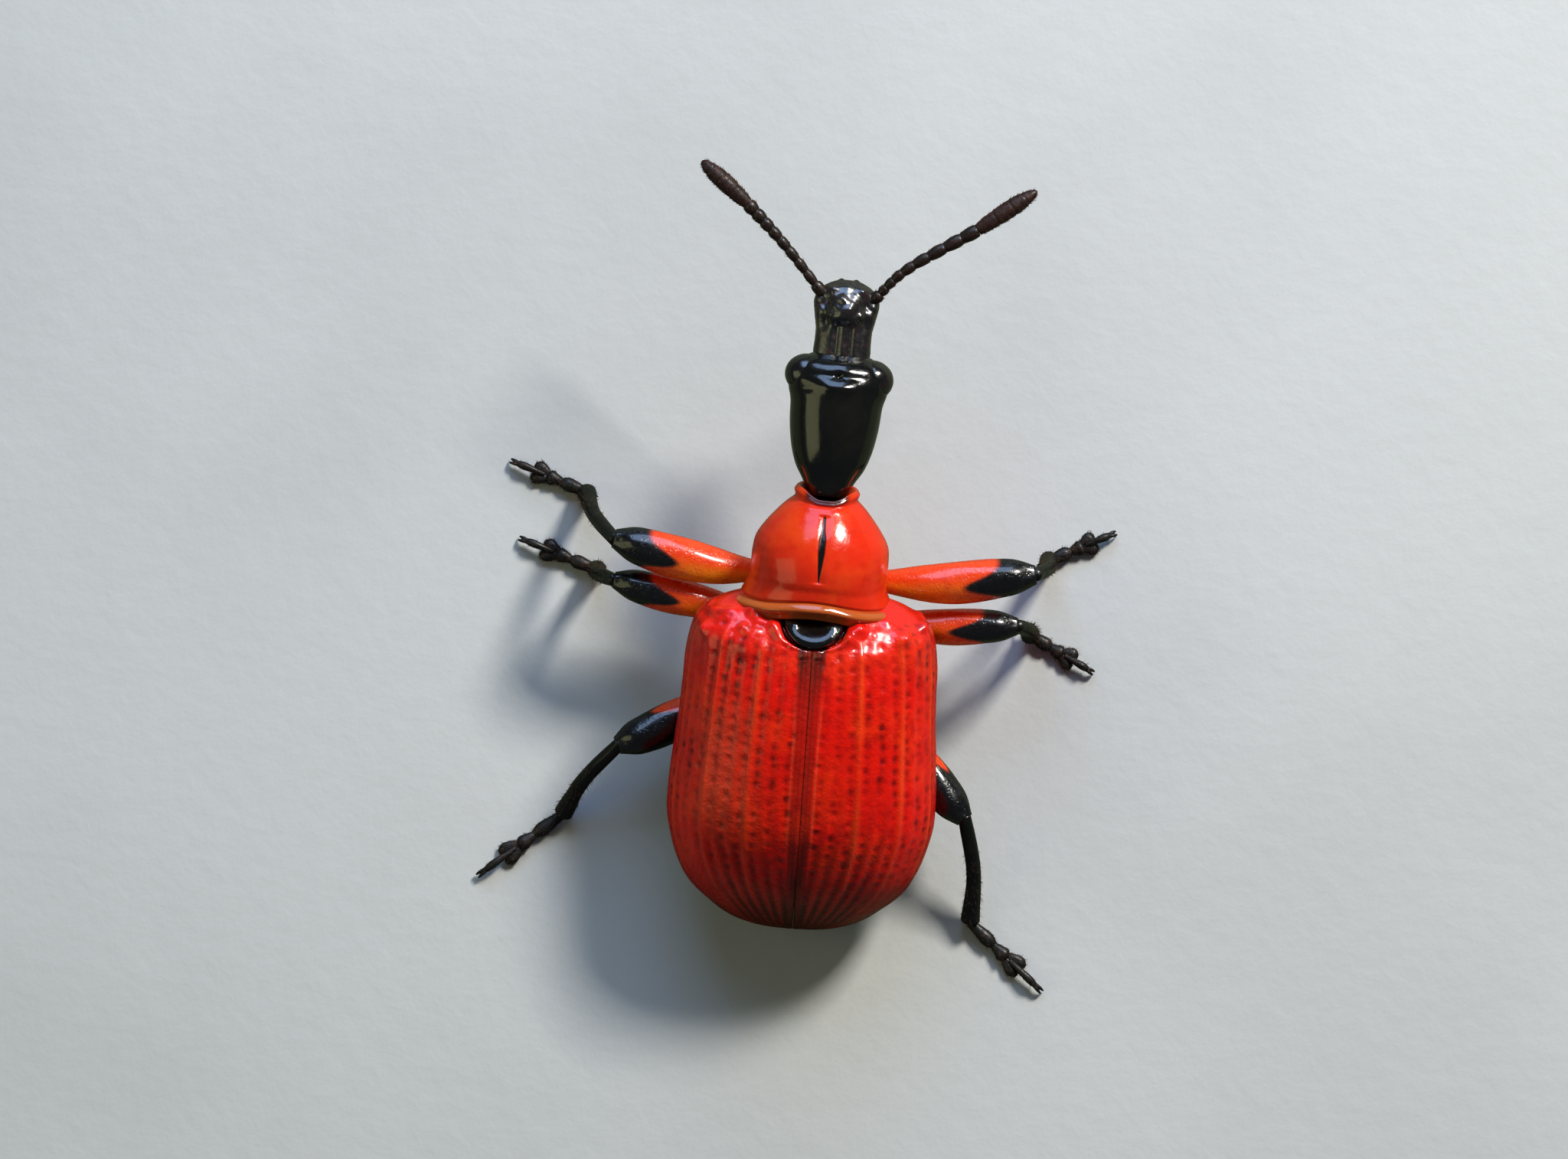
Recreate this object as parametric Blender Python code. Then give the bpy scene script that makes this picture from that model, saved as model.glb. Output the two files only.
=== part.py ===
"""A hazel leaf-roller weevil at life size, standing still on six spread legs.

Lengths are in millimetres until place() hands a finished mesh over in metres. The beetle faces -Y,
its left side is +X and the floor is at height 0. The waist, where the pronotum meets the wing
cases, is the point that everything is measured from. Body pieces are shaped in the frame of the
body (x to the left, y to the rear, z up from the long axis), which is then pitched nose up.
"""

import math

import bmesh
import bpy
from mathutils import Matrix, Vector

MM = 0.001

# Clearances and the least thickness of limbs, which are thinner in life
GAP = 0.12
SEAM = 0.06
LEAST_RADIUS = 0.21

# Stance
WAIST_PLACE = (-0.20, 0.42)
AXIS_HEIGHT = 2.15
PITCH = math.radians(18)
FRONT_TURN = math.radians(2)
HEAD_DROP = math.radians(14)

# Hind body under the wing cases: (y, half width, top, bottom), from the waist to the tip
HIND_LENGTH = 4.50
HIND_BODY = (
    (-0.12, 0.94, 0.42, -0.56),
    (-0.04, 1.16, 0.54, -0.64),
    (0.07, 1.36, 0.69, -0.74),
    (0.20, 1.51, 0.84, -0.83),
    (0.38, 1.60, 0.97, -0.91),
    (0.68, 1.65, 1.06, -0.95),
    (1.50, 1.69, 1.18, -0.98),
    (2.70, 1.775, 1.20, -0.95),
    (3.33, 1.68, 1.04, -0.84),
    (3.82, 1.46, 0.78, -0.70),
    (4.23, 1.02, 0.38, -0.54),
    (4.42, 0.62, 0.08, -0.42),
    (4.49, 0.24, -0.10, -0.30),
)
HIND_STEPS = 240
WIDEST_FRONT, WIDEST_REAR = -0.04, -0.20
SQUARENESS = 2.35
TAPER_START = 2.50
ELYTRON_THICKNESS = 0.42
ELYTRON_MARGIN = math.radians(-10)
COVER_ENDS, COVER_BLEND = math.radians(-23), math.radians(10)
ELYTRON_ROWS, ELYTRON_INTERVALS = 22, 10
RIB_HEIGHT, RIB_FADE = 0.03, 0.4
SHOULDER_HEIGHT, SHOULDER_PLACE, SHOULDER_SPREAD = 0.06, (0.32, 0.57), (0.30, 0.13)
VENTRITES, VENTRITE_GROOVE = 5, 0.05
THORAX_START, THORAX_END, THORAX_ROWS = 0.10, 1.40, 8

# Pronotum, the whole ring of the fore body: (y, half width, top, bottom)
PRONOTUM_LENGTH = 1.55
PRONOTUM = (
    (-PRONOTUM_LENGTH, 0.400, 0.390, -0.370),
    (-1.50, 0.415, 0.405, -0.395),
    (-1.38, 0.445, 0.430, -0.415),
    (-1.30, 0.530, 0.490, -0.450),
    (-1.17, 0.645, 0.600, -0.520),
    (-1.00, 0.775, 0.720, -0.600),
    (-0.82, 0.872, 0.810, -0.660),
    (-0.62, 0.900, 0.875, -0.700),
    (-0.42, 0.900, 0.895, -0.730),
    (-0.24, 0.920, 0.875, -0.735),
    (-0.16, 0.955, 0.855, -0.735),
    (-0.08, 0.995, 0.875, -0.735),
    (0.02, 1.035, 0.870, -0.735),
)
PRONOTUM_LEVEL = -0.04
PRONOTUM_SQUARENESS = 2.1

# Scutellum, the small plate between the bases of the wing cases: (y, half width)
SCUTELLUM = ((0.08, 0.42), (0.14, 0.43), (0.22, 0.40), (0.30, 0.34), (0.37, 0.23), (0.41, 0.10))
SCUTELLUM_DEPTH, SCUTELLUM_RISE = 0.30, 0.05
SCUTELLUM_SIDES, SCUTELLUM_SQUARENESS = 16, 3.0

# Head and rostrum: (distance ahead of the neck, half width, top, bottom)
NECK_Y = -PRONOTUM_LENGTH - 0.02
HEAD = (
    (-0.14, 0.240, 0.230, -0.230),
    (-0.04, 0.290, 0.275, -0.280),
    (0.08, 0.350, 0.325, -0.335),
    (0.26, 0.455, 0.405, -0.420),
    (0.50, 0.535, 0.470, -0.490),
    (0.78, 0.583, 0.515, -0.525),
    (1.02, 0.600, 0.530, -0.530),
    (1.29, 0.606, 0.530, -0.525),
    (1.46, 0.575, 0.490, -0.490),
    (1.60, 0.490, 0.400, -0.430),
    (1.70, 0.370, 0.260, -0.340),
)
ROSTRUM = (
    (1.48, 0.330, 0.160, -0.260),
    (1.73, 0.375, 0.170, -0.280),
    (1.90, 0.372, 0.172, -0.285),
    (2.07, 0.378, 0.178, -0.290),
    (2.24, 0.415, 0.200, -0.295),
    (2.42, 0.440, 0.225, -0.290),
    (2.54, 0.395, 0.205, -0.260),
    (2.63, 0.320, 0.155, -0.200),
    (2.69, 0.250, 0.090, -0.150),
)
ROSTRUM_SQUARENESS = 2.3
EYE_RADIUS = 0.285
EYE_PLACE = (0.425, 1.44, 0.06)
MANDIBLE_PLACE = (0.10, 2.65, -0.05)
MANDIBLE_SIZE = (0.11, 0.12, 0.08)

# Feelers: joints measured from the waist along the floor, and height above it
FEELERS = {
    "left": ((0.17, -3.98, 2.86), (0.74, -4.60, 3.00), (1.25, -5.09, 3.07), (1.89, -5.60, 3.12)),
    "right": ((-0.48, -3.95, 2.86), (-0.90, -4.38, 3.00), (-1.78, -4.95, 3.09), (-2.52, -5.51, 3.14)),
}
FEELER_BEADS = 7
BEAD_WAIST = 0.88
CLUB_RADIUS = 0.225
CLUB_PROFILE = ((0.0, 0.80), (0.12, 0.90), (0.50, 1.0), (0.75, 0.90), (0.92, 0.62), (1.0, 0.34))

# Legs: the coxa in the frame of the body, the rest from the waist along the floor and up from it
LEGS = {
    "front_left": ((0.30, -0.18, -0.74), (2.71, -0.69, 1.78), (3.15, -1.44), (4.22, -1.80)),
    "front_right": ((-0.30, -0.18, -0.74), (-2.88, -0.60, 1.78), (-3.08, -0.95), (-3.98, -1.40)),
    "middle_left": ((0.45, 0.42, -0.90), (2.68, -0.17, 1.46), (2.94, -0.41), (4.03, -0.77)),
    "middle_right": ((-0.45, 0.42, -0.90), (-2.70, 0.07, 1.46), (-2.90, 0.06), (-3.80, 0.52)),
    "hind_left": ((0.62, 1.35, -0.96), (2.48, 1.99, 1.02), (3.16, 2.89), (4.26, 3.81)),
    "hind_right": ((-0.62, 1.35, -0.96), (-2.18, 2.64, 1.00), (-2.36, 3.95), (-3.40, 4.83)),
}
FEMUR_BOW = {"front": (0.0, 0.10, 0.06), "middle": (0.0, 0.05, 0.08), "hind": (0.0, 0.0, -0.02)}
FEMUR_SWELL = {"front": 0.265, "middle": 0.235, "hind": 0.262}
FEMUR_PROFILE = (0.70, 0.70, 0.76, 0.84, 0.93, 1.0, 1.02, 0.98, 0.92, 0.88, 0.62)
TIBIA_BOW = 0.08
TIBIA_PROFILE = (1.0, 1.0, 1.0, 1.0, 1.0, 1.03, 1.08, 1.10)
COXA_RADIUS = 0.27
TARSUS_HEIGHT = 0.26
TARSUS = (
    (-0.14, 0.110, 0.15),
    (-0.07, 0.175, 0.24),
    (0.12, 0.190, 0.26),
    (0.30, 0.155, 0.22),
    (0.38, 0.195, 0.24),
    (0.47, 0.160, 0.20),
    (0.54, 0.215, 0.23),
    (0.66, 0.225, 0.23),
    (0.72, 0.120, 0.19),
    (0.86, 0.105, 0.18),
    (0.95, 0.110, 0.15),
    (1.00, 0.055, 0.07),
)

TARSUS_CENTRE, TARSUS_RISE = 0.42, 0.60

# Fineness: sides round a ring, and segments and rings of each ball
BODY_SIDES, HEAD_SIDES, TARSUS_SIDES = 28, 24, 12
EYE_STEPS, COXA_STEPS, JAW_STEPS = (16, 10), (14, 10), (10, 8)
LIMB_RESOLUTION = 4
WELD_DISTANCE = 1e-4
SHARP_ANGLE = math.radians(50)

# Colours and roughness
RED = (0.60, 0.025, 0.010), 0.22
DARK_RED = (0.35, 0.030, 0.012), 0.30
BLACK = (0.008, 0.008, 0.009), 0.15

BODY = Matrix.Translation((0, 0, AXIS_HEIGHT)) @ Matrix.Rotation(-PITCH, 4, "X")
FRONT = BODY @ Matrix.Rotation(-FRONT_TURN, 4, "Z")
SKULL = FRONT @ Matrix.Translation((0, NECK_Y, 0)) @ Matrix.Rotation(HEAD_DROP, 4, "X")


def clear_scene():
    for obj in list(bpy.data.objects):
        bpy.data.objects.remove(obj)


def material(name, colour, roughness):
    made = bpy.data.materials.new(name)
    made.use_nodes = True
    shader = made.node_tree.nodes["Principled BSDF"]
    shader.inputs["Base Color"].default_value = (*colour, 1)
    shader.inputs["Roughness"].default_value = roughness
    shader.inputs["Metallic"].default_value = 0.0
    return made


def smooth(rows, count):
    """As many rows as asked for, read from a smooth curve through the rows given."""
    rows = [Vector(row) for row in rows]
    rows = [2 * rows[0] - rows[1], *rows, 2 * rows[-1] - rows[-2]]
    read = []
    for k in range(count):
        place = k * (len(rows) - 3) / (count - 1)
        i = min(int(place), len(rows) - 4)
        t = place - i
        a, b, c, d = rows[i : i + 4]
        bend = (2 * a - 5 * b + 4 * c - d) * t + (3 * b - a - 3 * c + d) * t * t
        read.append(b + 0.5 * t * (c - a + bend))
    return read


def oval(y, half_width, top, middle, bottom, sides, squareness=2.0):
    """The points of one cross-section: a squared oval whose widest level is middle."""
    power = 2 / squareness
    points = []
    for k in range(sides):
        angle = 2 * math.pi * k / sides
        across = math.copysign(abs(math.cos(angle)) ** power, math.cos(angle))
        up = abs(math.sin(angle)) ** power
        level = middle + (top - middle) * up if math.sin(angle) > 0 else middle - (middle - bottom) * up
        points.append(Vector((half_width * across, y, level)))
    return points


def mesh_from(bm, name):
    bmesh.ops.recalc_face_normals(bm, faces=bm.faces)
    mesh = bpy.data.meshes.new(name)
    bm.to_mesh(mesh)
    bm.free()
    return mesh


def loft(name, rings):
    """A closed skin over a row of like rings, with a flat cap on each end."""
    bm = bmesh.new()
    loops = [[bm.verts.new(point) for point in ring] for ring in rings]
    sides = len(loops[0])
    for here, there in zip(loops, loops[1:]):
        for k in range(sides):
            following = (k + 1) % sides
            bm.faces.new((here[k], here[following], there[following], there[k]))
    bm.faces.new(loops[0][::-1])
    bm.faces.new(loops[-1])
    return mesh_from(bm, name)


def shell(name, outer, inner):
    """A closed plate between two sheets of points with the same rows and columns."""
    bm = bmesh.new()
    sheets = [[[bm.verts.new(point) for point in row] for row in sheet] for sheet in (outer, inner)]
    rows, columns = len(outer), len(outer[0])
    for sheet in sheets:
        for i in range(rows - 1):
            for j in range(columns - 1):
                bm.faces.new((sheet[i][j], sheet[i][j + 1], sheet[i + 1][j + 1], sheet[i + 1][j]))
    top, under = sheets
    for i in range(rows - 1):
        for j in (0, columns - 1):
            bm.faces.new((top[i][j], top[i + 1][j], under[i + 1][j], under[i][j]))
    for j in range(columns - 1):
        for i in (0, rows - 1):
            bm.faces.new((top[i][j], top[i][j + 1], under[i][j + 1], under[i][j]))
    return mesh_from(bm, name)


def ball(name, centre, radii, steps):
    segments, rings = steps
    bm = bmesh.new()
    bmesh.ops.create_uvsphere(bm, u_segments=segments, v_segments=rings, radius=1.0)
    bmesh.ops.transform(bm, matrix=Matrix.Translation(centre) @ Matrix.Diagonal((*radii, 1)), verts=bm.verts)
    return mesh_from(bm, name)


def tube(name, points, radii):
    """A limb: a bevelled curve through the points, with filled caps, made a closed mesh."""
    curve = bpy.data.curves.new(name, "CURVE")
    curve.dimensions = "3D"
    curve.bevel_depth = 1.0
    curve.bevel_resolution = LIMB_RESOLUTION
    curve.use_fill_caps = True
    spline = curve.splines.new("POLY")
    spline.points.add(len(points) - 1)
    for point, place, radius in zip(spline.points, points, radii):
        point.co = (*place, 1)
        point.radius = radius
    guide = bpy.data.objects.new(name, curve)
    bpy.context.scene.collection.objects.link(guide)
    graph = bpy.context.evaluated_depsgraph_get()
    mesh = bpy.data.meshes.new_from_object(guide.evaluated_get(graph))
    bpy.data.objects.remove(guide)
    bm = bmesh.new()
    bm.from_mesh(mesh)
    bmesh.ops.remove_doubles(bm, verts=bm.verts, dist=WELD_DISTANCE)
    return mesh_from(bm, name)


def moved(mesh, matrix):
    mesh.transform(matrix)
    return mesh


def grown(mesh, distance):
    """The same mesh with its surface pushed out, to cut room for a neighbour."""
    bm = bmesh.new()
    bm.from_mesh(mesh)
    bm.normal_update()
    pushed = [vert.co + distance * vert.normal * vert.calc_shell_factor() for vert in bm.verts]
    for vert, place in zip(bm.verts, pushed):
        vert.co = place
    return mesh_from(bm, mesh.name + ".grown")


def keep_largest(bm):
    """Drops every closed surface but the largest one."""
    left, pieces = set(bm.verts), []
    while left:
        piece, queue = set(), [left.pop()]
        while queue:
            vert = queue.pop()
            piece.add(vert)
            for edge in vert.link_edges:
                other = edge.other_vert(vert)
                if other in left:
                    left.remove(other)
                    queue.append(other)
        pieces.append(piece)
    pieces.sort(key=len)
    for piece in pieces[:-1]:
        bmesh.ops.delete(bm, geom=list(piece), context="VERTS")


def combined(mesh, others, operation):
    """The mesh with a Boolean of all the others applied, as its one largest closed surface."""
    helpers = bpy.data.collections.new("Helpers")
    for other in others:
        helpers.objects.link(bpy.data.objects.new(other.name, other))
    subject = bpy.data.objects.new(mesh.name, mesh)
    bpy.context.scene.collection.objects.link(subject)
    modifier = subject.modifiers.new("Combine", "BOOLEAN")
    modifier.operation = operation
    modifier.operand_type = "COLLECTION"
    modifier.collection = helpers
    modifier.solver = "EXACT"
    graph = bpy.context.evaluated_depsgraph_get()
    made = bpy.data.meshes.new_from_object(subject.evaluated_get(graph))
    for helper in [*helpers.objects, subject]:
        bpy.data.objects.remove(helper)
    bpy.data.collections.remove(helpers)
    bm = bmesh.new()
    bm.from_mesh(made)
    keep_largest(bm)
    return mesh_from(bm, mesh.name)


def carved(mesh, neighbours, clearance=GAP):
    return combined(mesh, [grown(neighbour, clearance) for neighbour in neighbours], "DIFFERENCE")


def widest_level(y):
    return WIDEST_FRONT + (WIDEST_REAR - WIDEST_FRONT) * y / HIND_LENGTH


def inset_factors(depth):
    """How much the hind body shrinks across, up and along its taper to lie this deep inside."""
    half_width, top = max(row[1] for row in HIND_BODY), max(row[2] for row in HIND_BODY)
    return 1 - depth / half_width, 1 - depth / (top - WIDEST_REAR), 1 - depth / (HIND_LENGTH - TAPER_START)


def hind_point(row, angle, factors, swell=0.0):
    """A point of the hind body's skin: the angle runs from the left side over the top."""
    y, half_width, top, bottom = row
    across, up, along = factors
    level = widest_level(y)
    reach = abs(math.cos(angle)) ** (2 / SQUARENESS) * (half_width * across + swell)
    rise = abs(math.sin(angle)) ** (2 / SQUARENESS)
    height = (top - level) * up + swell if math.sin(angle) > 0 else -(level - bottom) * up - swell
    depth = y if y < TAPER_START else TAPER_START + (y - TAPER_START) * along
    return Vector((math.copysign(reach, math.cos(angle)), depth, level + height * rise))


def elytron(side):
    """One wing case, with its raised intervals between rows of pits, and a bump at the shoulder."""
    columns = 2 * ELYTRON_INTERVALS + 1
    inside = inset_factors(ELYTRON_THICKNESS)
    outer, inner = [], []
    for i, row in enumerate(smooth(HIND_BODY, ELYTRON_ROWS)):
        ends = math.sin(math.pi * (i + 0.5) / ELYTRON_ROWS) ** RIB_FADE
        outer_row, inner_row = [], []
        for j in range(columns):
            t = j / (columns - 1)
            angle = math.pi / 2 + (ELYTRON_MARGIN - math.pi / 2) * t
            rib = ends * RIB_HEIGHT / 2 * (1 if j % 2 else -1)
            offsets = zip((row[0], t), SHOULDER_PLACE, SHOULDER_SPREAD)
            fall = sum(((x - middle) / width) ** 2 for x, middle, width in offsets)
            above = hind_point(row, angle, (1, 1, 1), rib + SHOULDER_HEIGHT * math.exp(-fall))
            below = hind_point(row, angle, inside)
            for point, sheet in ((above, outer_row), (below, inner_row)):
                sheet.append(Vector((side * (point.x * (1 - SEAM / 3) + SEAM / 2), point.y, point.z)))
        outer.append(outer_row)
        inner.append(inner_row)
    return moved(shell("elytron", outer, inner), BODY)


def hind_row(y):
    """The hind body's smooth table, read at one place."""
    return min(smooth(HIND_BODY, HIND_STEPS), key=lambda row: abs(row[0] - y))


def under_body(name, start, end, rows, grooves):
    """A length of the body below the wing cases: full width underneath, inset where they cover it."""
    covered = inset_factors(ELYTRON_THICKNESS + GAP)
    bare = inset_factors(SEAM)
    rings = []
    for i in range(rows):
        y = start + (end - start) * i / (rows - 1)
        row = hind_row(y)
        groove = 0.5 + 0.5 * math.cos(2 * math.pi * grooves * i / (rows - 1)) if grooves else 0.0
        ring = []
        for k in range(BODY_SIDES):
            angle = 2 * math.pi * k / BODY_SIDES
            steep = math.asin(math.sin(angle))
            blend = min(1, max(0, (steep - COVER_ENDS) / COVER_BLEND))
            factors = [b + (c - b) * blend for b, c in zip(bare, covered)]
            swell = -VENTRITE_GROOVE * groove * (1 - blend)
            ring.append(hind_point((y, *row[1:]), angle, factors, swell))
        rings.append(ring)
    return moved(loft(name, rings), BODY)


def scutellum():
    rings = []
    for y, half_width in SCUTELLUM:
        row = hind_row(y)
        top = row[2] + SCUTELLUM_RISE * half_width / SCUTELLUM[1][1]
        bottom = row[2] - SCUTELLUM_DEPTH
        middle = (top + bottom) / 2
        rings.append(oval(y, half_width, top, middle, bottom, SCUTELLUM_SIDES, SCUTELLUM_SQUARENESS))
    return moved(loft("scutellum", rings), BODY)


def pronotum():
    rings = []
    for y, half_width, top, bottom in PRONOTUM:
        rings.append(oval(y, half_width, top, PRONOTUM_LEVEL, bottom, BODY_SIDES, PRONOTUM_SQUARENESS))
    return moved(loft("pronotum", rings), FRONT)


def skull_loft(name, stations, squareness=2.0):
    rings = []
    for ahead, half_width, top, bottom in stations:
        rings.append(oval(-ahead, half_width, top, (top + bottom) / 2, bottom, HEAD_SIDES, squareness))
    return moved(loft(name, rings), SKULL)


def eye(side):
    across, ahead, up = EYE_PLACE
    return moved(ball("eye", (side * across, -ahead, up), (EYE_RADIUS,) * 3, EYE_STEPS), SKULL)


def rostrum():
    """The snout, with the two jaws at its end fused to it."""
    jaws = []
    for side in (1, -1):
        across, ahead, up = MANDIBLE_PLACE
        jaws.append(moved(ball("jaw", (side * across, -ahead, up), MANDIBLE_SIZE, JAW_STEPS), SKULL))
    return combined(skull_loft("rostrum", ROSTRUM, ROSTRUM_SQUARENESS), jaws, "UNION")


def feeler(side):
    """The beaded stalk of one feeler, as thick as the thinnest limb may be."""
    base, bend, club, _ = FEELERS[side]
    steps = 2 * FEELER_BEADS + 1
    points = smooth((base, bend, club), steps)
    radii = [LEAST_RADIUS * (1 if k % 2 else BEAD_WAIST) for k in range(steps)]
    return tube("feeler", points, radii)


def club(side):
    """The club that ends a feeler, tapering to its tip."""
    _, _, base, tip = (Vector(joint) for joint in FEELERS[side])
    start = base + (tip - base).normalized() * GAP
    points = [start + (tip - start) * t for t, _ in CLUB_PROFILE]
    return tube("club", points, [CLUB_RADIUS * factor for _, factor in CLUB_PROFILE])


def coxa(leg):
    return ball("coxa", BODY @ Vector(LEGS[leg][0]), (COXA_RADIUS,) * 3, COXA_STEPS)


def femur(leg):
    """The thigh: thin at its root, swollen towards the knee, slightly bowed."""
    pair = leg.split("_")[0]
    root, knee = BODY @ Vector(LEGS[leg][0]), Vector(LEGS[leg][1])
    middle = (root + knee) / 2 + Vector(FEMUR_BOW[pair])
    points = smooth((root, middle, knee), len(FEMUR_PROFILE))
    radii = [max(LEAST_RADIUS, FEMUR_SWELL[pair] * factor) for factor in FEMUR_PROFILE[:-1]]
    return tube("femur", points, [*radii, FEMUR_SWELL[pair] * FEMUR_PROFILE[-1]])


def tibia(leg):
    """The shin, from inside the knee down to inside the foot, bowed outwards."""
    knee, (x, y) = Vector(LEGS[leg][1]), LEGS[leg][2]
    ankle = Vector((x, y, TARSUS_HEIGHT / 2))
    outwards = Vector((math.copysign(1, x), 0, 0))
    middle = (knee + ankle) / 2 + TIBIA_BOW * outwards
    points = smooth((knee, middle, ankle), len(TIBIA_PROFILE))
    return tube("tibia", points, [LEAST_RADIUS * factor for factor in TIBIA_PROFILE])


def tarsus(leg):
    """The foot: a flat-soled row of swellings along the floor, ending in the claws."""
    ankle, toe = (Vector((*place, 0)) for place in LEGS[leg][2:])
    length = (toe - ankle).length
    heading = (toe - ankle).normalized()
    across = Vector((-heading.y, heading.x, 0))
    rings = []
    for along, half_width, height in TARSUS:
        ring = []
        for k in range(TARSUS_SIDES):
            angle = 2 * math.pi * (k + 0.5) / TARSUS_SIDES
            level = max(0.0, height * (TARSUS_CENTRE + TARSUS_RISE * math.sin(angle)))
            centre = ankle + heading * along * length
            ring.append(centre + across * half_width * math.cos(angle) + Vector((0, 0, level)))
        rings.append(ring)
    return loft("tarsus", rings)


def place(name, mesh, root, made_of, home, frame):
    """Adds a node: its mesh in metres, its origin where it grows from what carries it."""
    origin = Vector(root)
    mesh.transform(Matrix.Diagonal((MM, MM, MM, 1)) @ Matrix.Translation(-origin))
    mesh.name = name
    mesh.materials.clear()
    mesh.materials.append(made_of)
    mesh.shade_smooth()
    mesh.set_sharp_from_angle(angle=SHARP_ANGLE)
    node = bpy.data.objects.new(name, mesh)
    home.objects.link(node)
    node.parent = frame
    node.location = origin * MM


def main():
    clear_scene()
    home = bpy.data.collections.new("Hazel leaf-roller weevil")
    bpy.context.scene.collection.children.link(home)
    frame = bpy.data.objects.new("weevil", None)
    frame.location = Vector((*WAIST_PLACE, 0)) * MM
    home.objects.link(frame)
    red = material("Red cuticle", *RED)
    dark_red = material("Dark red cuticle", *DARK_RED)
    black = material("Black cuticle", *BLACK)

    coxae = {leg: coxa(leg) for leg in LEGS}
    femora = {leg: femur(leg) for leg in LEGS}
    tarsi = {leg: tarsus(leg) for leg in LEGS}
    head, snout = skull_loft("head", HEAD), rostrum()
    eyes = {"left": eye(1), "right": eye(-1)}
    shield = scutellum()
    front_limbs = [limbs[leg] for limbs in (coxae, femora) for leg in LEGS if leg.startswith("front")]
    rear_limbs = [limbs[leg] for limbs in (coxae, femora) for leg in LEGS if not leg.startswith("front")]
    neck = SKULL.translation
    waist = BODY.translation

    fore_body = pronotum()
    for name, side in (("left", 1), ("right", -1)):
        case = carved(elytron(side), [shield, fore_body], SEAM)
        place(f"elytron_{name}", case, waist, red, home, frame)
    place("pronotum", carved(fore_body, [*front_limbs, head]), waist, red, home, frame)
    thorax = under_body("thorax", THORAX_START, THORAX_END - GAP, THORAX_ROWS, 0)
    place("thorax", carved(thorax, rear_limbs), waist, black, home, frame)
    abdomen = under_body("abdomen", THORAX_END, HIND_BODY[-2][0], 2 * VENTRITES + 1, VENTRITES)
    hind_limbs = [limbs[leg] for limbs in (coxae, femora) for leg in LEGS if leg.startswith("hind")]
    place("abdomen", carved(abdomen, hind_limbs), BODY @ Vector((0, THORAX_END, 0)), black, home, frame)
    for leg in LEGS:
        root, knee = BODY @ Vector(LEGS[leg][0]), Vector(LEGS[leg][1])
        ankle = Vector((*LEGS[leg][2], 0))
        shin = carved(tibia(leg), [femora[leg], tarsi[leg]])
        thigh = carved(femora[leg], [coxae[leg]])
        place(f"leg_{leg}_coxa", coxae[leg], root, dark_red, home, frame)
        place(f"leg_{leg}_femur", thigh, root, red, home, frame)
        place(f"leg_{leg}_tibia", shin, knee, black, home, frame)
        place(f"leg_{leg}_tarsus", tarsi[leg], ankle, black, home, frame)
    for name in FEELERS:
        base, _, club_base, _ = (Vector(joint) for joint in FEELERS[name])
        place(f"antenna_{name}", carved(feeler(name), [snout]), base, black, home, frame)
        place(f"antenna_club_{name}", club(name), club_base, black, home, frame)
    place("rostrum", carved(snout, [head]), neck, black, home, frame)
    place("head", carved(head, eyes.values(), SEAM), neck, black, home, frame)
    for name, mesh in eyes.items():
        place(f"eye_{name}", mesh, neck, black, home, frame)
    place("scutellum", shield, waist, black, home, frame)


main()
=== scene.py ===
"""The finished look of the hazel leaf-roller weevil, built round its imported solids.

Shapes are worked out in millimetres, in the frames and from the sizes of the solids: the beetle
faces -Y, its left side is +X, and the waist, where the pronotum meets the wing cases, is the point
that everything is measured from. Pieces are handed over in metres.
"""

import math

import bmesh
import bpy
import numpy as np
from mathutils import Matrix, Vector


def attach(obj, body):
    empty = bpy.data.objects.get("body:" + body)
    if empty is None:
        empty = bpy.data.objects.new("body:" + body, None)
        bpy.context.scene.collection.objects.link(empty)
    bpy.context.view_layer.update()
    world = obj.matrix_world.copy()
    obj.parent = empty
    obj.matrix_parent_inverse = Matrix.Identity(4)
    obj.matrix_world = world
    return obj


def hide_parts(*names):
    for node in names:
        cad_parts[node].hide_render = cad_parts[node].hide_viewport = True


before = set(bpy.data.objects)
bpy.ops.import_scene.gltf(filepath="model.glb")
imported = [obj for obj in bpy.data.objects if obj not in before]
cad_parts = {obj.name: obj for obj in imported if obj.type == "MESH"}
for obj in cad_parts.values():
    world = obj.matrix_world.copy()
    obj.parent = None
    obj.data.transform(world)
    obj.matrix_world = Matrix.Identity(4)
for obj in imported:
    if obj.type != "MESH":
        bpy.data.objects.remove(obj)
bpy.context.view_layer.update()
MM = 0.001
SEED = 7

# Stance, as in the solids
WAIST_PLACE = (-0.20, 0.42)
AXIS_HEIGHT = 2.15
PITCH = math.radians(18)
FRONT_TURN = math.radians(2)
HEAD_DROP = math.radians(14)

# Hind body: (y, half width, top, bottom), from the waist to the tip
HIND_LENGTH = 4.50
HIND_BODY = (
    (-0.12, 0.94, 0.42, -0.56),
    (-0.04, 1.16, 0.54, -0.64),
    (0.07, 1.36, 0.69, -0.74),
    (0.20, 1.51, 0.84, -0.83),
    (0.38, 1.60, 0.97, -0.91),
    (0.68, 1.65, 1.06, -0.95),
    (1.50, 1.69, 1.18, -0.98),
    (2.70, 1.775, 1.20, -0.95),
    (3.33, 1.68, 1.04, -0.84),
    (3.82, 1.46, 0.78, -0.70),
    (4.23, 1.02, 0.38, -0.54),
    (4.42, 0.62, 0.08, -0.42),
    (4.49, 0.24, -0.10, -0.30),
)
WIDEST_FRONT, WIDEST_REAR = -0.04, -0.20
SQUARENESS = 2.35
MARGIN_ANGLE = math.radians(-10)
UNDERSIDE_ANGLE = math.radians(-23)
THORAX_END = 1.34
ABDOMEN_END = 4.36
VENTRITES = 5

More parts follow.
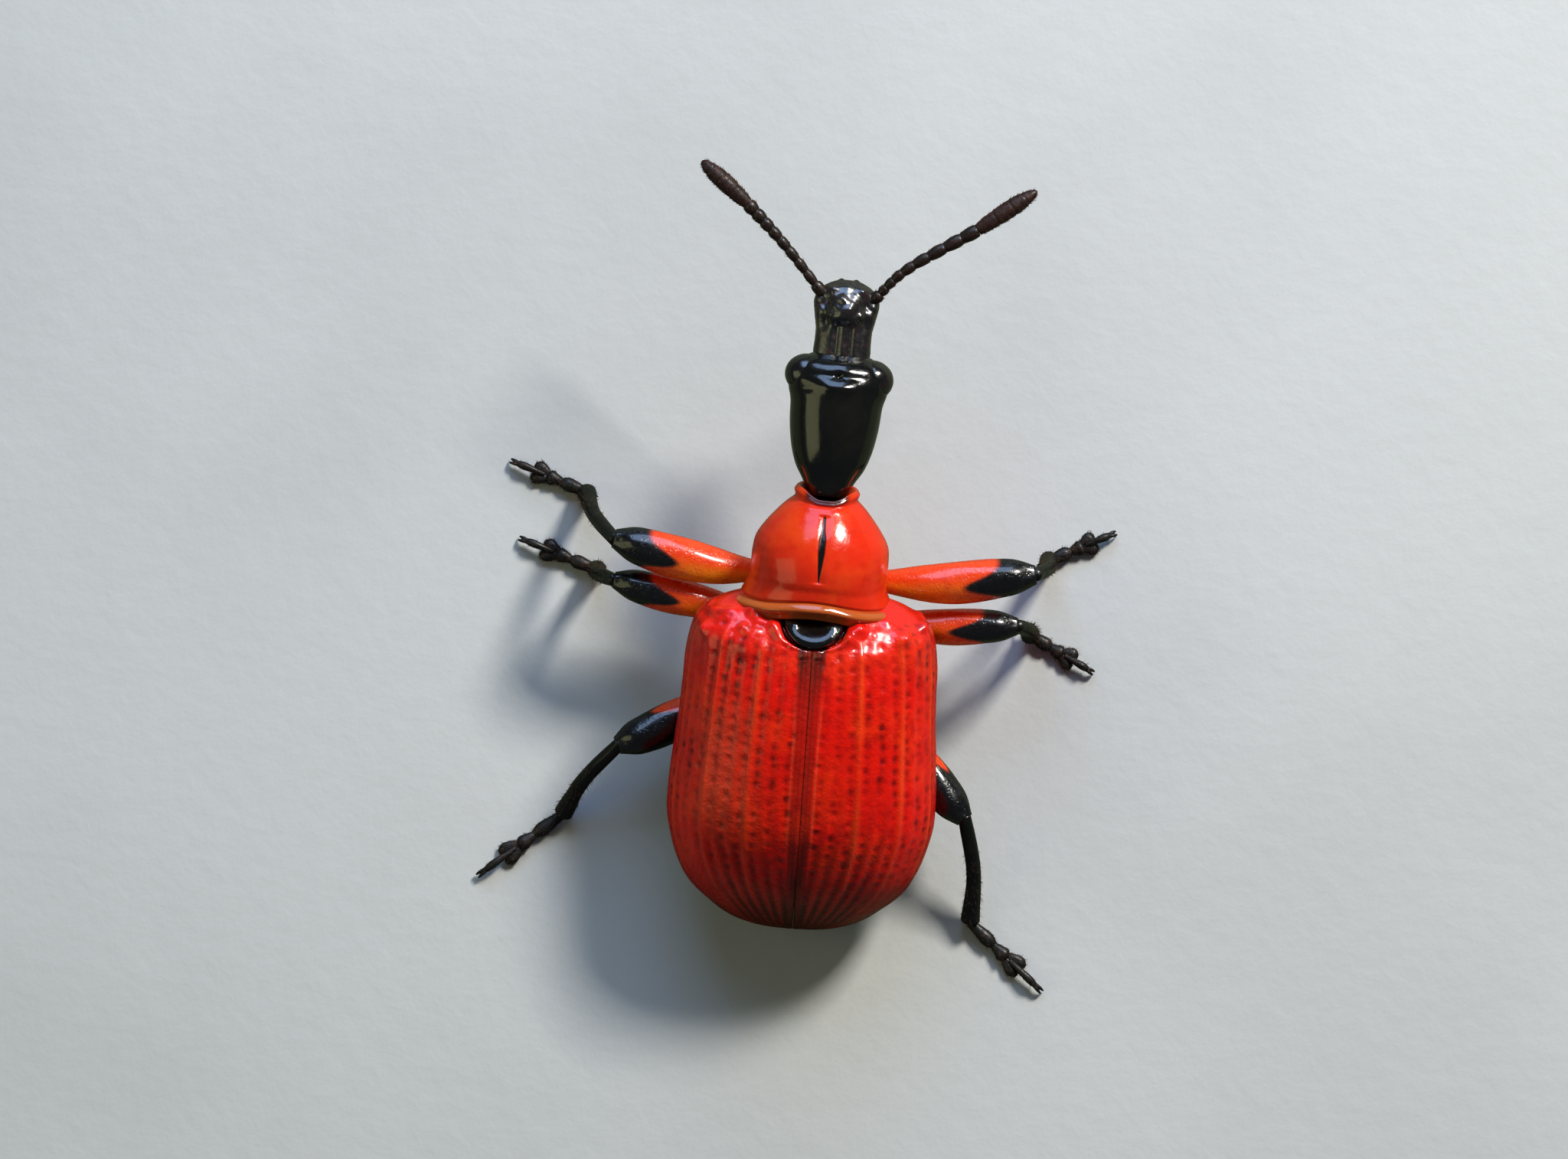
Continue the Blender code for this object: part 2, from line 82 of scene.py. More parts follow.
# Wing cases: rows of pits between raised intervals
CASE_ROWS, CASE_COLUMNS = 290, 150
CASE_THICKNESS = 0.16
SUTURE = 0.0015
PIT_ROWS = 13
PIT_PITCH = 0.150
PIT_DEPTH = 0.015
PIT_ACROSS, PIT_ALONG = 0.046, 0.050
RIB_HEIGHT = 0.014
KNOBS = 28
COSTAE = (3.5, 6.5, 9.5)
# Ranges of each pit's shift along and across, its depth and the strength of the shade painted into it
PIT_VARIATION = ((-0.30, 0.30), (-0.022, 0.022), (0.1, 1.1), (0.0, 1.0))
SHOULDER_BUMP = 0.06
# Least and most of each knob's place along and across, its size and its steepness
KNOB_RANGES = ((0.32, 0.42, 0.064, 0.34), (0.98, 1.80, 0.110, 0.56))

# Scutellum: (y, half width)
SCUTELLUM = (
    (-0.04, 0.42),
    (0.10, 0.43),
    (0.20, 0.41),
    (0.30, 0.34),
    (0.37, 0.23),
    (0.41, 0.11),
    (0.42, 0.01),
)
SCUTELLUM_RISE = 0.03
SCUTELLUM_DEPTH = 0.16
SCUTELLUM_WELL = 0.16

# Pronotum: (y, half width, top, bottom)
PRONOTUM = (
    (-1.55, 0.400, 0.390, -0.370),
    (-1.50, 0.415, 0.405, -0.395),
    (-1.43, 0.420, 0.410, -0.400),
    (-1.38, 0.445, 0.430, -0.415),
    (-1.30, 0.530, 0.490, -0.450),
    (-1.17, 0.645, 0.600, -0.520),
    (-1.00, 0.775, 0.720, -0.600),
    (-0.82, 0.872, 0.810, -0.660),
    (-0.62, 0.900, 0.875, -0.700),
    (-0.42, 0.900, 0.895, -0.730),
    (-0.27, 0.915, 0.880, -0.735),
    (-0.14, 0.965, 0.880, -0.735),
    (0.00, 1.030, 0.875, -0.735),
    (0.10, 1.060, 0.860, -0.735),
    (0.16, 1.055, 0.840, -0.730),
)
FRONT_NOTCH, REAR_NOTCH = 0.11, 0.13
PRONOTUM_LEVEL = -0.04
# Black line: (y, half width)
LINE = ((-1.28, 0.0144), (-1.13, 0.01824), (-1.00, 0.0456), (-0.85, 0.0456), (-0.45, 0.0048))
LINE_FADE = 0.02
GROOVE_Y = -0.060
COLLAR_Y = -1.50

# Head and rostrum: (distance ahead of the neck, half width, top, bottom)
NECK_Y = -1.57
HEAD = (
    (-0.14, 0.240, 0.230, -0.230),
    (-0.04, 0.290, 0.275, -0.280),
    (0.08, 0.350, 0.325, -0.335),
    (0.26, 0.455, 0.405, -0.420),
    (0.50, 0.535, 0.470, -0.490),
    (0.78, 0.583, 0.515, -0.525),
    (1.02, 0.600, 0.530, -0.530),
    (1.29, 0.606, 0.530, -0.525),
    (1.46, 0.575, 0.490, -0.490),
    (1.60, 0.490, 0.400, -0.430),
    (1.70, 0.370, 0.260, -0.340),
)
ROSTRUM = (
    (1.48, 0.330, 0.160, -0.260),
    (1.73, 0.375, 0.170, -0.280),
    (1.90, 0.372, 0.172, -0.285),
    (2.07, 0.378, 0.178, -0.290),
    (2.24, 0.415, 0.215, -0.295),
    (2.42, 0.440, 0.210, -0.290),
    (2.54, 0.395, 0.175, -0.260),
    (2.63, 0.310, 0.120, -0.200),
    (2.69, 0.200, 0.060, -0.130),
    (2.72, 0.110, 0.010, -0.080),
)
EYE_RADII = (0.290, 0.265, 0.285)
EYE_PLACE = (0.425, 1.44, 0.06)
EYE_FILLET = 0.045
# Knobs and hollows of the snout: (height, across, its spread, ahead, its spread)
SNOUT_KNOBS = (
    (0.030, -0.04, 0.050, 2.33, 0.05),
    (0.030, 0.07, 0.050, 2.46, 0.05),
    (0.030, 0.01, 0.10, 2.60, 0.050),
)
# The same, for those that come in pairs
SNOUT_PAIRS = (
    (0.040, 0.19, 0.055, 2.57, 0.055),
    (0.030, 0.20, 0.045, 2.24, 0.05),
    (-0.060, 0.28, 0.075, 2.40, 0.10),
    (-0.045, 0.26, 0.06, 2.16, 0.10),
)
JAW_PLACE = (0.035, 2.63, -0.05)
JAW_LINE = ((0.07, -0.08, 0.0), (0.09, 0.0, 0.0), (0.06, 0.05, 0.0), (0.01, 0.07, -0.01))
# Jaw: (share of its length, radius)
JAW_SHAPE = ((0, 0.060), (0.4, 0.066), (0.8, 0.052), (0.94, 0.030), (1.0, 0.010))

# Feelers: joints from the waist along the floor, and height above it
FEELERS = {
    "left": ((0.17, -3.98, 2.86), (0.74, -4.60, 3.00), (1.25, -5.09, 3.07), (1.89, -5.60, 3.12)),
    "right": ((-0.48, -3.95, 2.86), (-0.90, -4.38, 3.00), (-1.78, -4.95, 3.09), (-2.52, -5.51, 3.14)),
}
FEELER_BEADS = 8
BEAD_RADIUS, BEAD_NECK = 0.080, 0.061
BEAD_RINGS = 24
# Beads: (number, size)
BEAD_SIZES = ((1, 0.84), (2, 0.82), (5, 0.92), (9, 1.20))
SCAPE_SIZE = 1.05
CLUB_RADIUS = 0.116
CLUB_JOINTS = (0.30, 0.58, 0.80)
# Club: (share of its length, share of its radius)
CLUB_SHAPE = (
    (0, 0.66),
    (0.05, 0.73),
    (0.16, 0.86),
    (0.40, 0.99),
    (0.60, 1.0),
    (0.78, 0.86),
    (0.92, 0.56),
    (0.98, 0.34),
    (1.0, 0.08),
)

# Legs: the coxa in the frame of the body, the rest from the waist along the floor and up from it
LEGS = {
    "front_left": ((0.30, -0.18, -0.74), (2.71, -0.69, 1.78), (3.15, -1.44), (4.22, -1.80)),
    "front_right": ((-0.30, -0.18, -0.74), (-2.88, -0.60, 1.78), (-3.08, -0.95), (-3.98, -1.40)),
    "middle_left": ((0.45, 0.42, -0.90), (2.68, -0.17, 1.46), (2.94, -0.41), (4.03, -0.77)),
    "middle_right": ((-0.45, 0.42, -0.90), (-2.70, 0.07, 1.46), (-2.90, 0.06), (-3.80, 0.52)),
    "hind_left": ((0.62, 1.35, -0.96), (2.48, 1.99, 1.02), (3.16, 2.89), (4.26, 3.81)),
    "hind_right": ((-0.62, 1.35, -0.96), (-2.18, 2.64, 1.00), (-2.36, 3.95), (-3.40, 4.83)),
}
FEMUR_BOW = {"front": (0.0, 0.10, 0.06), "middle": (0.0, 0.05, 0.08), "hind": (0.0, 0.0, -0.02)}
FEMUR_SWELL = {"front": 0.272, "middle": 0.235, "hind": 0.262}
FEMUR_PROFILE = (0.34, 0.38, 0.50, 0.67, 0.84, 0.96, 1.03, 1.03, 0.97, 0.84, 0.46)
THIGH_RINGS, THIGH_SIDES = 120, 72
COXA_RADIUS = 0.27
TROCHANTER_RADII = (0.13, 0.17, 0.16)
TIBIA_BOW = 0.08
TIBIA_RINGS, TIBIA_SIDES = 90, 28
TIBIA_PROFILE = (0.085, 0.095, 0.098, 0.098, 0.100, 0.105, 0.118, 0.130)
KNEE_DEPTH = 0.07
TARSUS_TOP = 0.14
HAIR_RADIUS = 0.0035

# Foot: (share of its length along, aside, up, radius) of two segments, a lobe, the claw segment and a claw
FOOT_SEGMENTS = (
    ((-0.06, 0, 0.10, 0.055), (0.08, 0, 0.10, 0.072), (0.24, 0, 0.085, 0.095), (0.34, 0, 0.08, 0.045)),
    ((0.31, 0, 0.08, 0.045), (0.38, 0, 0.08, 0.075), (0.46, 0, 0.075, 0.100), (0.51, 0, 0.07, 0.045)),
)
FOOT_LOBE = (
    (0.48, 0.02, 0.07, 0.045),
    (0.55, 0.05, 0.065, 0.072),
    (0.63, 0.075, 0.055, 0.085),
    (0.69, 0.085, 0.045, 0.030),
)
CLAW_SEGMENT = (
    (0.54, 0, 0.10, 0.030),
    (0.66, 0, 0.125, 0.040),
    (0.80, 0, 0.13, 0.054),
    (0.88, 0, 0.10, 0.040),
)
CLAW = (
    (0.87, 0.008, 0.11, 0.028),
    (0.93, 0.020, 0.10, 0.024),
    (0.97, 0.026, 0.06, 0.014),
    (0.98, 0.024, 0.010, 0.005),
)
# Hairs on the two segments, the lobes and the claw segment
FOOT_HAIRS = (70, 60, 90, 90, 24)

# Where the black of the knee starts along the thigh, and how far its point reaches back
KNEE_START = {"front": 0.81, "middle": 0.79, "hind": 0.42}
KNEE_POINT = {"front": 0.18, "middle": 0.20, "hind": 0.10}

# Stage: the floor and what surrounds it, in metres; each light's place and width in millimetres,
# its power and its colour
FLOOR_HALF, FLOOR_LEVEL = 1.5, -0.00001
ROOM_COLOUR, ROOM_STRENGTH = (0.80, 0.88, 1.0, 1), 0.075
BACKDROP_COLOUR = (0.62, 0.64, 0.65, 1)
LIGHTS = (
    ("Key", (-44, -62, 62), 20, 0.110, (1.0, 0.97, 0.90)),
    ("Fill", (66, 14, 48), 52, 0.0078, (1.0, 1.0, 0.52)),
    ("Sky", (10, -74, 54), 60, 0.046, (0.42, 0.62, 1.0)),
)

BODY = Matrix.Translation((0, 0, AXIS_HEIGHT)) @ Matrix.Rotation(-PITCH, 4, "X")
FRONT = BODY @ Matrix.Rotation(-FRONT_TURN, 4, "Z")
SKULL = FRONT @ Matrix.Translation((0, NECK_Y, 0)) @ Matrix.Rotation(HEAD_DROP, 4, "X")
SIDES = {"left": 1, "right": -1}


def smooth(rows, count):
    """As many rows as asked for, read from a smooth curve through the rows given."""
    rows = np.array(rows, float)
    rows = np.vstack((2 * rows[0] - rows[1], rows, 2 * rows[-1] - rows[-2]))
    place = np.linspace(0, len(rows) - 3, count)
    start = np.minimum(place.astype(int), len(rows) - 4)
    t = (place - start)[:, None]
    a, b, c, d = (rows[start + k] for k in range(4))
    bend = (2 * a - 5 * b + 4 * c - d) * t + (3 * b - a - 3 * c + d) * t * t
    return b + 0.5 * t * (c - a + bend)


def smooth_values(values, count):
    return smooth(np.array(values)[:, None], count)[:, 0]


def unit(vectors):
    return vectors / np.maximum(np.linalg.norm(vectors, axis=-1, keepdims=True), 1e-12)


def step(x, low, high):
    """A smooth rise from 0 at low to 1 at high."""
    t = np.clip((x - low) / (high - low), 0, 1)
    return t * t * (3 - 2 * t)


def hump(x, middle, width):
    return np.exp(-(((x - middle) / width) ** 2))


def placed(points, matrix):
    turned = np.array(matrix)
    return points @ turned[:3, :3].T + turned[:3, 3]


def distances(row):
    """How far along a row of points each one lies."""
    return np.concatenate(((0,), np.cumsum(np.linalg.norm(np.diff(row, axis=0), axis=1))))


def even(row, count):
    """A row of points, shared out again at equal distances."""
    along = distances(row)
    wanted = np.linspace(0, along[-1], count)
    return np.stack([np.interp(wanted, along, column) for column in row.T], axis=1)


def spread(rows, count):
    """The smooth curve through these rows, at equal distances."""
    return even(smooth(rows, 60 * len(rows)), count)


def outwards(points, wrap, centres):
    """Unit normals of a grid of points, turned away from the centres."""
    along = np.gradient(points, axis=0)
    if wrap:
        across = np.roll(points, -1, axis=1) - np.roll(points, 1, axis=1)
    else:
        across = np.gradient(points, axis=1)
    found = unit(np.cross(along, across))
    return found * np.sign(np.sum(found * (points - centres)))


def pushed(points, heights, wrap=True, centres=None):
    if centres is None:
        centres = points.mean(axis=1, keepdims=True)
    return points + outwards(points, wrap, centres) * heights[..., None]


def all_round(sides):
    """Angles spread evenly round a ring."""
    return np.linspace(0, 2 * math.pi, sides, endpoint=False)


def ovals(rows, levels, angle, squareness):
    """Squared ovals at these angles: rows give y, half width, top and bottom; levels the widest height."""
    power = 2 / squareness
    across = np.sign(np.cos(angle)) * np.abs(np.cos(angle)) ** power
    up = np.abs(np.sin(angle)) ** power
    y, half_width, top, bottom = (rows[:, k, None] for k in range(4))
    levels = np.broadcast_to(levels, (len(rows),))[:, None]
    height = np.where(np.sin(angle) > 0, levels + (top - levels) * up, levels - (levels - bottom) * up)
    return np.stack(np.broadcast_arrays(half_width * across, y, height), axis=2)


def sweep(line, radii, sides, flat=1.0):
    """Rings round a line. Angle 0 points sideways and a quarter turn on points up."""
    tangents = unit(np.gradient(line, axis=0))
    side = unit(np.cross(tangents[0], (0, 0, 1)))
    angle = all_round(sides)
    radii = np.broadcast_to(np.reshape(radii, (len(line), -1)), (len(line), sides))
    rings = []
    for point, tangent, radius in zip(line, tangents, radii):
        side = unit(side - tangent * (side @ tangent))
        up = np.cross(side, tangent)
        turn = np.outer(np.cos(angle), side) + flat * np.outer(np.sin(angle), up)
        rings.append(point + radius[:, None] * turn)
    return np.array(rings)


def grid_faces(rows, columns, wrap, first=0):
    i, j = np.meshgrid(np.arange(rows - 1), np.arange(columns if wrap else columns - 1), indexing="ij")
    here, following = i * columns, (j + 1) % columns
    corners = (here + j, here + following, here + columns + following, here + columns + j)
    return (first + np.stack(corners, axis=2).reshape(-1, 4)).tolist()


def tube_parts(rings):
    """Points and faces of a closed skin over rings, with a cap on each end."""
    rows, sides = rings.shape[:2]
    faces = grid_faces(rows, sides, True)
    faces.append(list(range(sides))[::-1])
    faces.append(list(range((rows - 1) * sides, rows * sides)))
    return rings.reshape(-1, 3), faces


def plate_parts(outer, inner):
    """Points and faces of a closed plate between two sheets."""
    rows, columns = outer.shape[:2]
    under = rows * columns
    faces = grid_faces(rows, columns, False) + grid_faces(rows, columns, False, under)
    for i in range(rows - 1):
        for a in (i * columns, i * columns + columns - 1):
            faces.append([a, a + columns, a + columns + under, a + under])
    for j in range(columns - 1):
        for a in (j, (rows - 1) * columns + j):
            faces.append([a, a + 1, a + 1 + under, a + under])
    return np.concatenate((outer.reshape(-1, 3), inner.reshape(-1, 3))), faces


def joined(parts):
    """Several (points, faces) as one."""
    points, faces, first = [], [], 0
    for some, their_faces in parts:
        points.append(some)
        faces += [[first + k for k in face] for face in their_faces]
        first += len(some)
    return np.concatenate(points), faces


def piece(name, parts, look, nodes, slot, **marks):
    """Adds a piece, in metres, that stands for the CAD nodes; marks are values for each point."""
    points, faces = parts
    mesh = bpy.data.meshes.new(name)
    points = (points + np.array((*WAIST_PLACE, 0))) * MM
    mesh.from_pydata(points.tolist(), [], faces)
    bm = bmesh.new()
    bm.from_mesh(mesh)
    bmesh.ops.recalc_face_normals(bm, faces=bm.faces)
    bm.to_mesh(mesh)
    bm.free()
    mesh.shade_smooth()
    for mark, values in marks.items():
        layer = mesh.attributes.new(mark, "FLOAT", "POINT")
        layer.data.foreach_set("value", np.ravel(values).astype(np.float32))
    mesh.materials.append(look)
    obj = bpy.data.objects.new(name, mesh)
    bpy.context.scene.collection.objects.link(obj)
    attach(obj, "root")
    if nodes:
        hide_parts(*nodes)
    return obj


def hairs(random, roots, ways, length, lean=0.25):
    """Thin three-sided hairs that taper to a point: (points, faces)."""
    points, faces = [], []
    for root, way in zip(roots, ways):
        way = unit(way + lean * random.normal(size=3))
        side = unit(np.cross(way, (0.3, 0.5, 0.8)))
        other = np.cross(way, side)
        first = len(points)
        for k in range(3):
            angle = 2 * math.pi * k / 3
            aside = math.cos(angle) * side + math.sin(angle) * other
            points.append(root - 0.3 * HAIR_RADIUS * way + HAIR_RADIUS * aside)
        points.append(root + length * random.uniform(0.7, 1.15) * way)
        faces.append([first, first + 2, first + 1])
        for k in range(3):
            faces.append([first + k, first + (k + 1) % 3, first + 3])
    return np.array(points), faces


class Look:
    """A material, with short ways to add the nodes that vary its colour, gloss and relief."""

    def __init__(
        self, name, colour, roughness, coat=0.0, coat_roughness=0.05, specular=0.5, thin=0.0, depth=0.25
    ):
        self.material = bpy.data.materials.new(name)
        self.material.use_nodes = True
        self.tree = self.material.node_tree
        self.shader = self.tree.nodes["Principled BSDF"]
        self.shader.inputs["Base Color"].default_value = (*colour, 1)
        self.shader.inputs["Roughness"].default_value = roughness
        self.shader.inputs["Coat Weight"].default_value = coat
        self.shader.inputs["Coat Roughness"].default_value = coat_roughness
        self.shader.inputs["Specular IOR Level"].default_value = specular
        if thin:
            self.shader.inputs["Subsurface Weight"].default_value = thin
            self.shader.inputs["Subsurface Radius"].default_value = (1.0, 0.25, 0.10)
            self.shader.inputs["Subsurface Scale"].default_value = depth * MM
        self.place = self.tree.nodes.new("ShaderNodeTexCoord").outputs["Object"]
        self.colour = None
        self.relief = None

    def add(self, kind, **inputs):
        node = self.tree.nodes.new(kind)
        for key, value in inputs.items():
            socket = node.inputs[key.replace("_", " ")]
            if isinstance(value, bpy.types.NodeSocket):
                self.tree.links.new(value, socket)
            else:
                socket.default_value = value
        return node

    def noise(self, size, detail=3.0, roughness=0.55):
        """Noise whose lumps are about this many millimetres across."""
        inputs = {"Vector": self.place, "Scale": 1 / (size * MM), "Detail": detail, "Roughness": roughness}
        return self.add("ShaderNodeTexNoise", **inputs).outputs["Fac"]

    def cells(self, size):
        node = self.add("ShaderNodeTexVoronoi", Vector=self.place, Scale=1 / (size * MM))
        return node.outputs["Distance"]

    def mark(self, name):
        node = self.tree.nodes.new("ShaderNodeAttribute")
        node.attribute_name = name
        return node.outputs["Fac"]

    def between(self, value, low, high, new_low=0.0, new_high=1.0):
        node = self.tree.nodes.new("ShaderNodeMapRange")
        node.interpolation_type = "SMOOTHSTEP"
        self.tree.links.new(value, node.inputs["Value"])
        ends = {"From Min": low, "From Max": high, "To Min": new_low, "To Max": new_high}
        for key, number in ends.items():
            node.inputs[key].default_value = number
        return node.outputs["Result"]

    def tint(self, colour, factor):
        """Mixes another colour over those so far, by a factor from 0 to 1."""
        node = self.tree.nodes.new("ShaderNodeMix")
        node.data_type = "RGBA"
        self.tree.links.new(factor, node.inputs[0])
        if self.colour is None:
            node.inputs[6].default_value = self.shader.inputs["Base Color"].default_value[:]
        else:
            self.tree.links.new(self.colour, node.inputs[6])
        node.inputs[7].default_value = (*colour, 1)
        self.colour = node.outputs[2]
        self.tree.links.new(self.colour, self.shader.inputs["Base Color"])

    def gloss(self, value):
        self.tree.links.new(value, self.shader.inputs["Roughness"])

    def polish(self, value):
        self.tree.links.new(value, self.shader.inputs["Coat Weight"])

    def bump(self, height, depth):
        """Relief of this depth in millimetres, laid over the relief so far."""
        node = self.add("ShaderNodeBump", Height=height, Distance=depth * MM)
        if self.relief is not None:
            self.tree.links.new(self.relief, node.inputs["Normal"])
        self.relief = node.outputs["Normal"]
        self.tree.links.new(self.relief, self.shader.inputs["Normal"])


def wing_case_look():
    look = Look("Wing case", (0.85, 0.009, 0.003), 0.30, coat_roughness=0.20, specular=0.22, thin=0.12)
    look.tint((0.98, 0.034, 0.004), look.between(look.noise(0.70), 0.45, 0.68, 0.0, 0.65))
    look.tint((0.56, 0.006, 0.003), look.between(look.noise(0.19, 4.0), 0.50, 0.70, 0.0, 0.70))
    look.tint((1.0, 0.080, 0.009), look.mark("costa"))
    # The pit mark is painted shade in the pits and along the grooves of the rows of pits.
    look.tint((0.17, 0.003, 0.003), look.mark("pit"))
    look.tint((0.070, 0.009, 0.005), look.mark("band"))
    # The pale mark holds pale edges along the suture and a painted brownish sheen on the left case.
    look.tint((0.55, 0.15, 0.05), look.mark("pale"))
    # This tint is painted shade: darker towards the tip, down the outer sides and in streaks on the rear
    # half.
    look.tint((0.045, 0.005, 0.003), look.mark("painted_shade"))
    look.gloss(look.between(look.noise(0.10, 4.0), 0.3, 0.7, 0.24, 0.42))
    look.polish(look.mark("polish"))
    look.bump(look.noise(0.07, 4.0), 0.009)
    look.bump(look.cells(0.045), 0.003)
    return look.material


def pronotum_look():
    look = Look("Pronotum", (0.76, 0.026, 0.005), 0.25, coat_roughness=0.09, specular=0.25, thin=0.12)
    look.tint((0.86, 0.075, 0.008), look.between(look.noise(0.6), 0.42, 0.70, 0.0, 0.6))
    look.tint((0.50, 0.012, 0.004), look.between(look.noise(0.22, 4.0), 0.55, 0.75, 0.0, 0.4))
    look.tint((0.42, 0.105, 0.016), look.mark("rim"))
    look.polish(look.between(look.mark("rim"), 0.0, 0.8, 0.42, 1.0))
    # The line mark holds the black median line and painted shade in the collar's mouth round the neck.
    look.tint((0.006, 0.005, 0.005), look.mark("line"))
    look.gloss(look.between(look.noise(0.12, 3.0), 0.3, 0.7, 0.14, 0.26))
    look.bump(look.noise(0.16, 3.0), 0.008)
    look.bump(look.noise(0.035, 3.0), 0.0015)
    return look.material


def thigh_look():
    look = Look("Thigh", (0.84, 0.062, 0.005), 0.26, coat=0.7, coat_roughness=0.07, thin=0.50, depth=0.45)
    # Painted glow: the rear side of the thigh near its root made brighter orange, as light shining through
    # it.
    look.tint((1.0, 0.34, 0.012), look.mark("glow"))
    look.tint((0.60, 0.022, 0.005), look.between(look.noise(0.22), 0.50, 0.75, 0.0, 0.5))
    look.tint((0.003, 0.003, 0.004), look.mark("knee"))
    look.gloss(look.between(look.noise(0.08, 4.0), 0.3, 0.7, 0.20, 0.38))
    look.bump(look.between(look.cells(0.050), 0.10, 0.45), 0.0035)
    look.bump(look.noise(0.03, 3.0), 0.0015)
    return look.material


def black_look():
    look = Look("Polished black", (0.003, 0.003, 0.0025), 0.16, coat=0.8, coat_roughness=0.085, specular=0.4)
    look.tint((0.008, 0.007, 0.0045), look.between(look.noise(0.5), 0.45, 0.75))
    look.gloss(look.between(look.noise(0.09, 4.0), 0.3, 0.7, 0.10, 0.24))
    look.bump(look.noise(0.20, 3.0), 0.006)
    look.bump(look.noise(0.025, 3.0), 0.0012)
    return look.material


def pitted_black_look():
    look = Look("Pitted black", (0.006, 0.0055, 0.005), 0.26, coat=0.5, coat_roughness=0.10, specular=0.35)
    look.tint((0.016, 0.011, 0.008), look.between(look.noise(0.3), 0.45, 0.75))
    look.gloss(look.between(look.noise(0.06, 4.0), 0.3, 0.7, 0.18, 0.40))
    look.bump(look.between(look.cells(0.060), 0.05, 0.40), 0.006)
    look.bump(look.noise(0.03, 3.0), 0.003)
    return look.material


def snout_look():
    look = Look("Snout", (0.007, 0.006, 0.006), 0.26, coat=1.0, coat_roughness=0.27, specular=0.9)
    look.tint((0.030, 0.010, 0.010), look.between(look.noise(0.12), 0.45, 0.75))
    look.gloss(look.between(look.noise(0.06, 4.0), 0.3, 0.7, 0.16, 0.36))
    look.bump(look.noise(0.11, 3.0), 0.011)
    look.bump(look.noise(0.03, 3.0), 0.002)
    return look.material


def shin_look():
    look = Look("Shin", (0.004, 0.0045, 0.0045), 0.34, coat=0.3, coat_roughness=0.16, specular=0.22)
    look.tint((0.011, 0.010, 0.007), look.between(look.noise(0.15), 0.45, 0.75))
    look.gloss(look.between(look.noise(0.05, 4.0), 0.3, 0.7, 0.28, 0.50))
    look.bump(look.between(look.cells(0.035), 0.05, 0.40), 0.003)
    return look.material


def foot_look():
    look = Look("Foot", (0.007, 0.006, 0.005), 0.48, coat=0.12, coat_roughness=0.25, specular=0.35)
    look.tint((0.035, 0.018, 0.012), look.between(look.noise(0.10), 0.48, 0.75))
    look.gloss(look.between(look.noise(0.04, 4.0), 0.3, 0.7, 0.38, 0.60))
    look.bump(look.between(look.cells(0.028), 0.05, 0.40), 0.006)
    return look.material


def feeler_look(name, colour, light, roughness, coat):
    look = Look(name, colour, roughness, coat=coat, coat_roughness=0.2, specular=0.35)
    look.tint(light, look.between(look.noise(0.08), 0.45, 0.75))
    look.gloss(look.between(look.noise(0.03, 4.0), 0.3, 0.7, roughness - 0.10, roughness + 0.12))
    look.bump(look.noise(0.02, 3.0), 0.004)
    return look.material


def eye_look():
    look = Look("Eye", (0.004, 0.004, 0.005), 0.18, coat=1.0, coat_roughness=0.12)
    look.tint((0.018, 0.010, 0.006), look.between(look.noise(0.2), 0.45, 0.75))
    look.gloss(look.between(look.noise(0.05, 3.0), 0.3, 0.7, 0.12, 0.22))
    look.bump(look.cells(0.022), 0.0016)
    return look.material


def hair_look():
    look = Look("Hair", (0.050, 0.024, 0.013), 0.50, specular=0.2)
    look.tint((0.10, 0.055, 0.03), look.between(look.noise(0.05), 0.4, 0.7))
    look.gloss(look.between(look.noise(0.03), 0.3, 0.7, 0.40, 0.62))
    return look.material


def floor_look():
    """Pale to the camera, and dull green in reflections, as the leaf in the photo was."""
    look = Look("Floor", (0.60, 0.61, 0.60), 0.85)
    look.tint((0.55, 0.56, 0.55), look.between(look.noise(9.0, 4.0), 0.40, 0.70))
    mirrored = look.tree.nodes.new("ShaderNodeLightPath").outputs["Is Glossy Ray"]
    look.tint((0.085, 0.100, 0.050), look.between(mirrored, 0.0, 1.0))
    look.gloss(look.between(look.noise(2.0), 0.3, 0.7, 0.68, 0.82))
    look.bump(look.noise(0.30, 4.0), 0.010)
    return look.material


LOOKS = {
    "case": wing_case_look(),
    "pronotum": pronotum_look(),
    "thigh": thigh_look(),
    "black": black_look(),
    "pitted": pitted_black_look(),
    "snout": snout_look(),
    "shin": shin_look(),
    "foot": foot_look(),
    "stalk": feeler_look("Feeler", (0.010, 0.0050, 0.0035), (0.036, 0.013, 0.008), 0.42, 0.2),
    "club": feeler_look("Club", (0.020, 0.0065, 0.0045), (0.060, 0.018, 0.011), 0.55, 0.1),
    "eye": eye_look(),
    "hair": hair_look(),
}


def hind_rows(start, end, count):
    """Rows of the hind body's table, read at evenly spaced places."""
    fine = smooth(HIND_BODY, 600)
    y = np.linspace(start, end, count)
    return np.stack([y, *(np.interp(y, fine[:, 0], fine[:, k]) for k in (1, 2, 3))], axis=1)


def widest_level(y):
    return WIDEST_FRONT + (WIDEST_REAR - WIDEST_FRONT) * y / HIND_LENGTH


def hind_skin(rows, angle):
    """Rings of the hind body, at these angles from the left side over the top."""
    return ovals(rows, widest_level(rows[:, 0]), angle, SQUARENESS)


def scutellum_width(y):
    table = np.array(SCUTELLUM)
    return np.where((y >= table[0, 0]) & (y <= table[-1, 0]), np.interp(y, table[:, 0], table[:, 1]), 0.0)


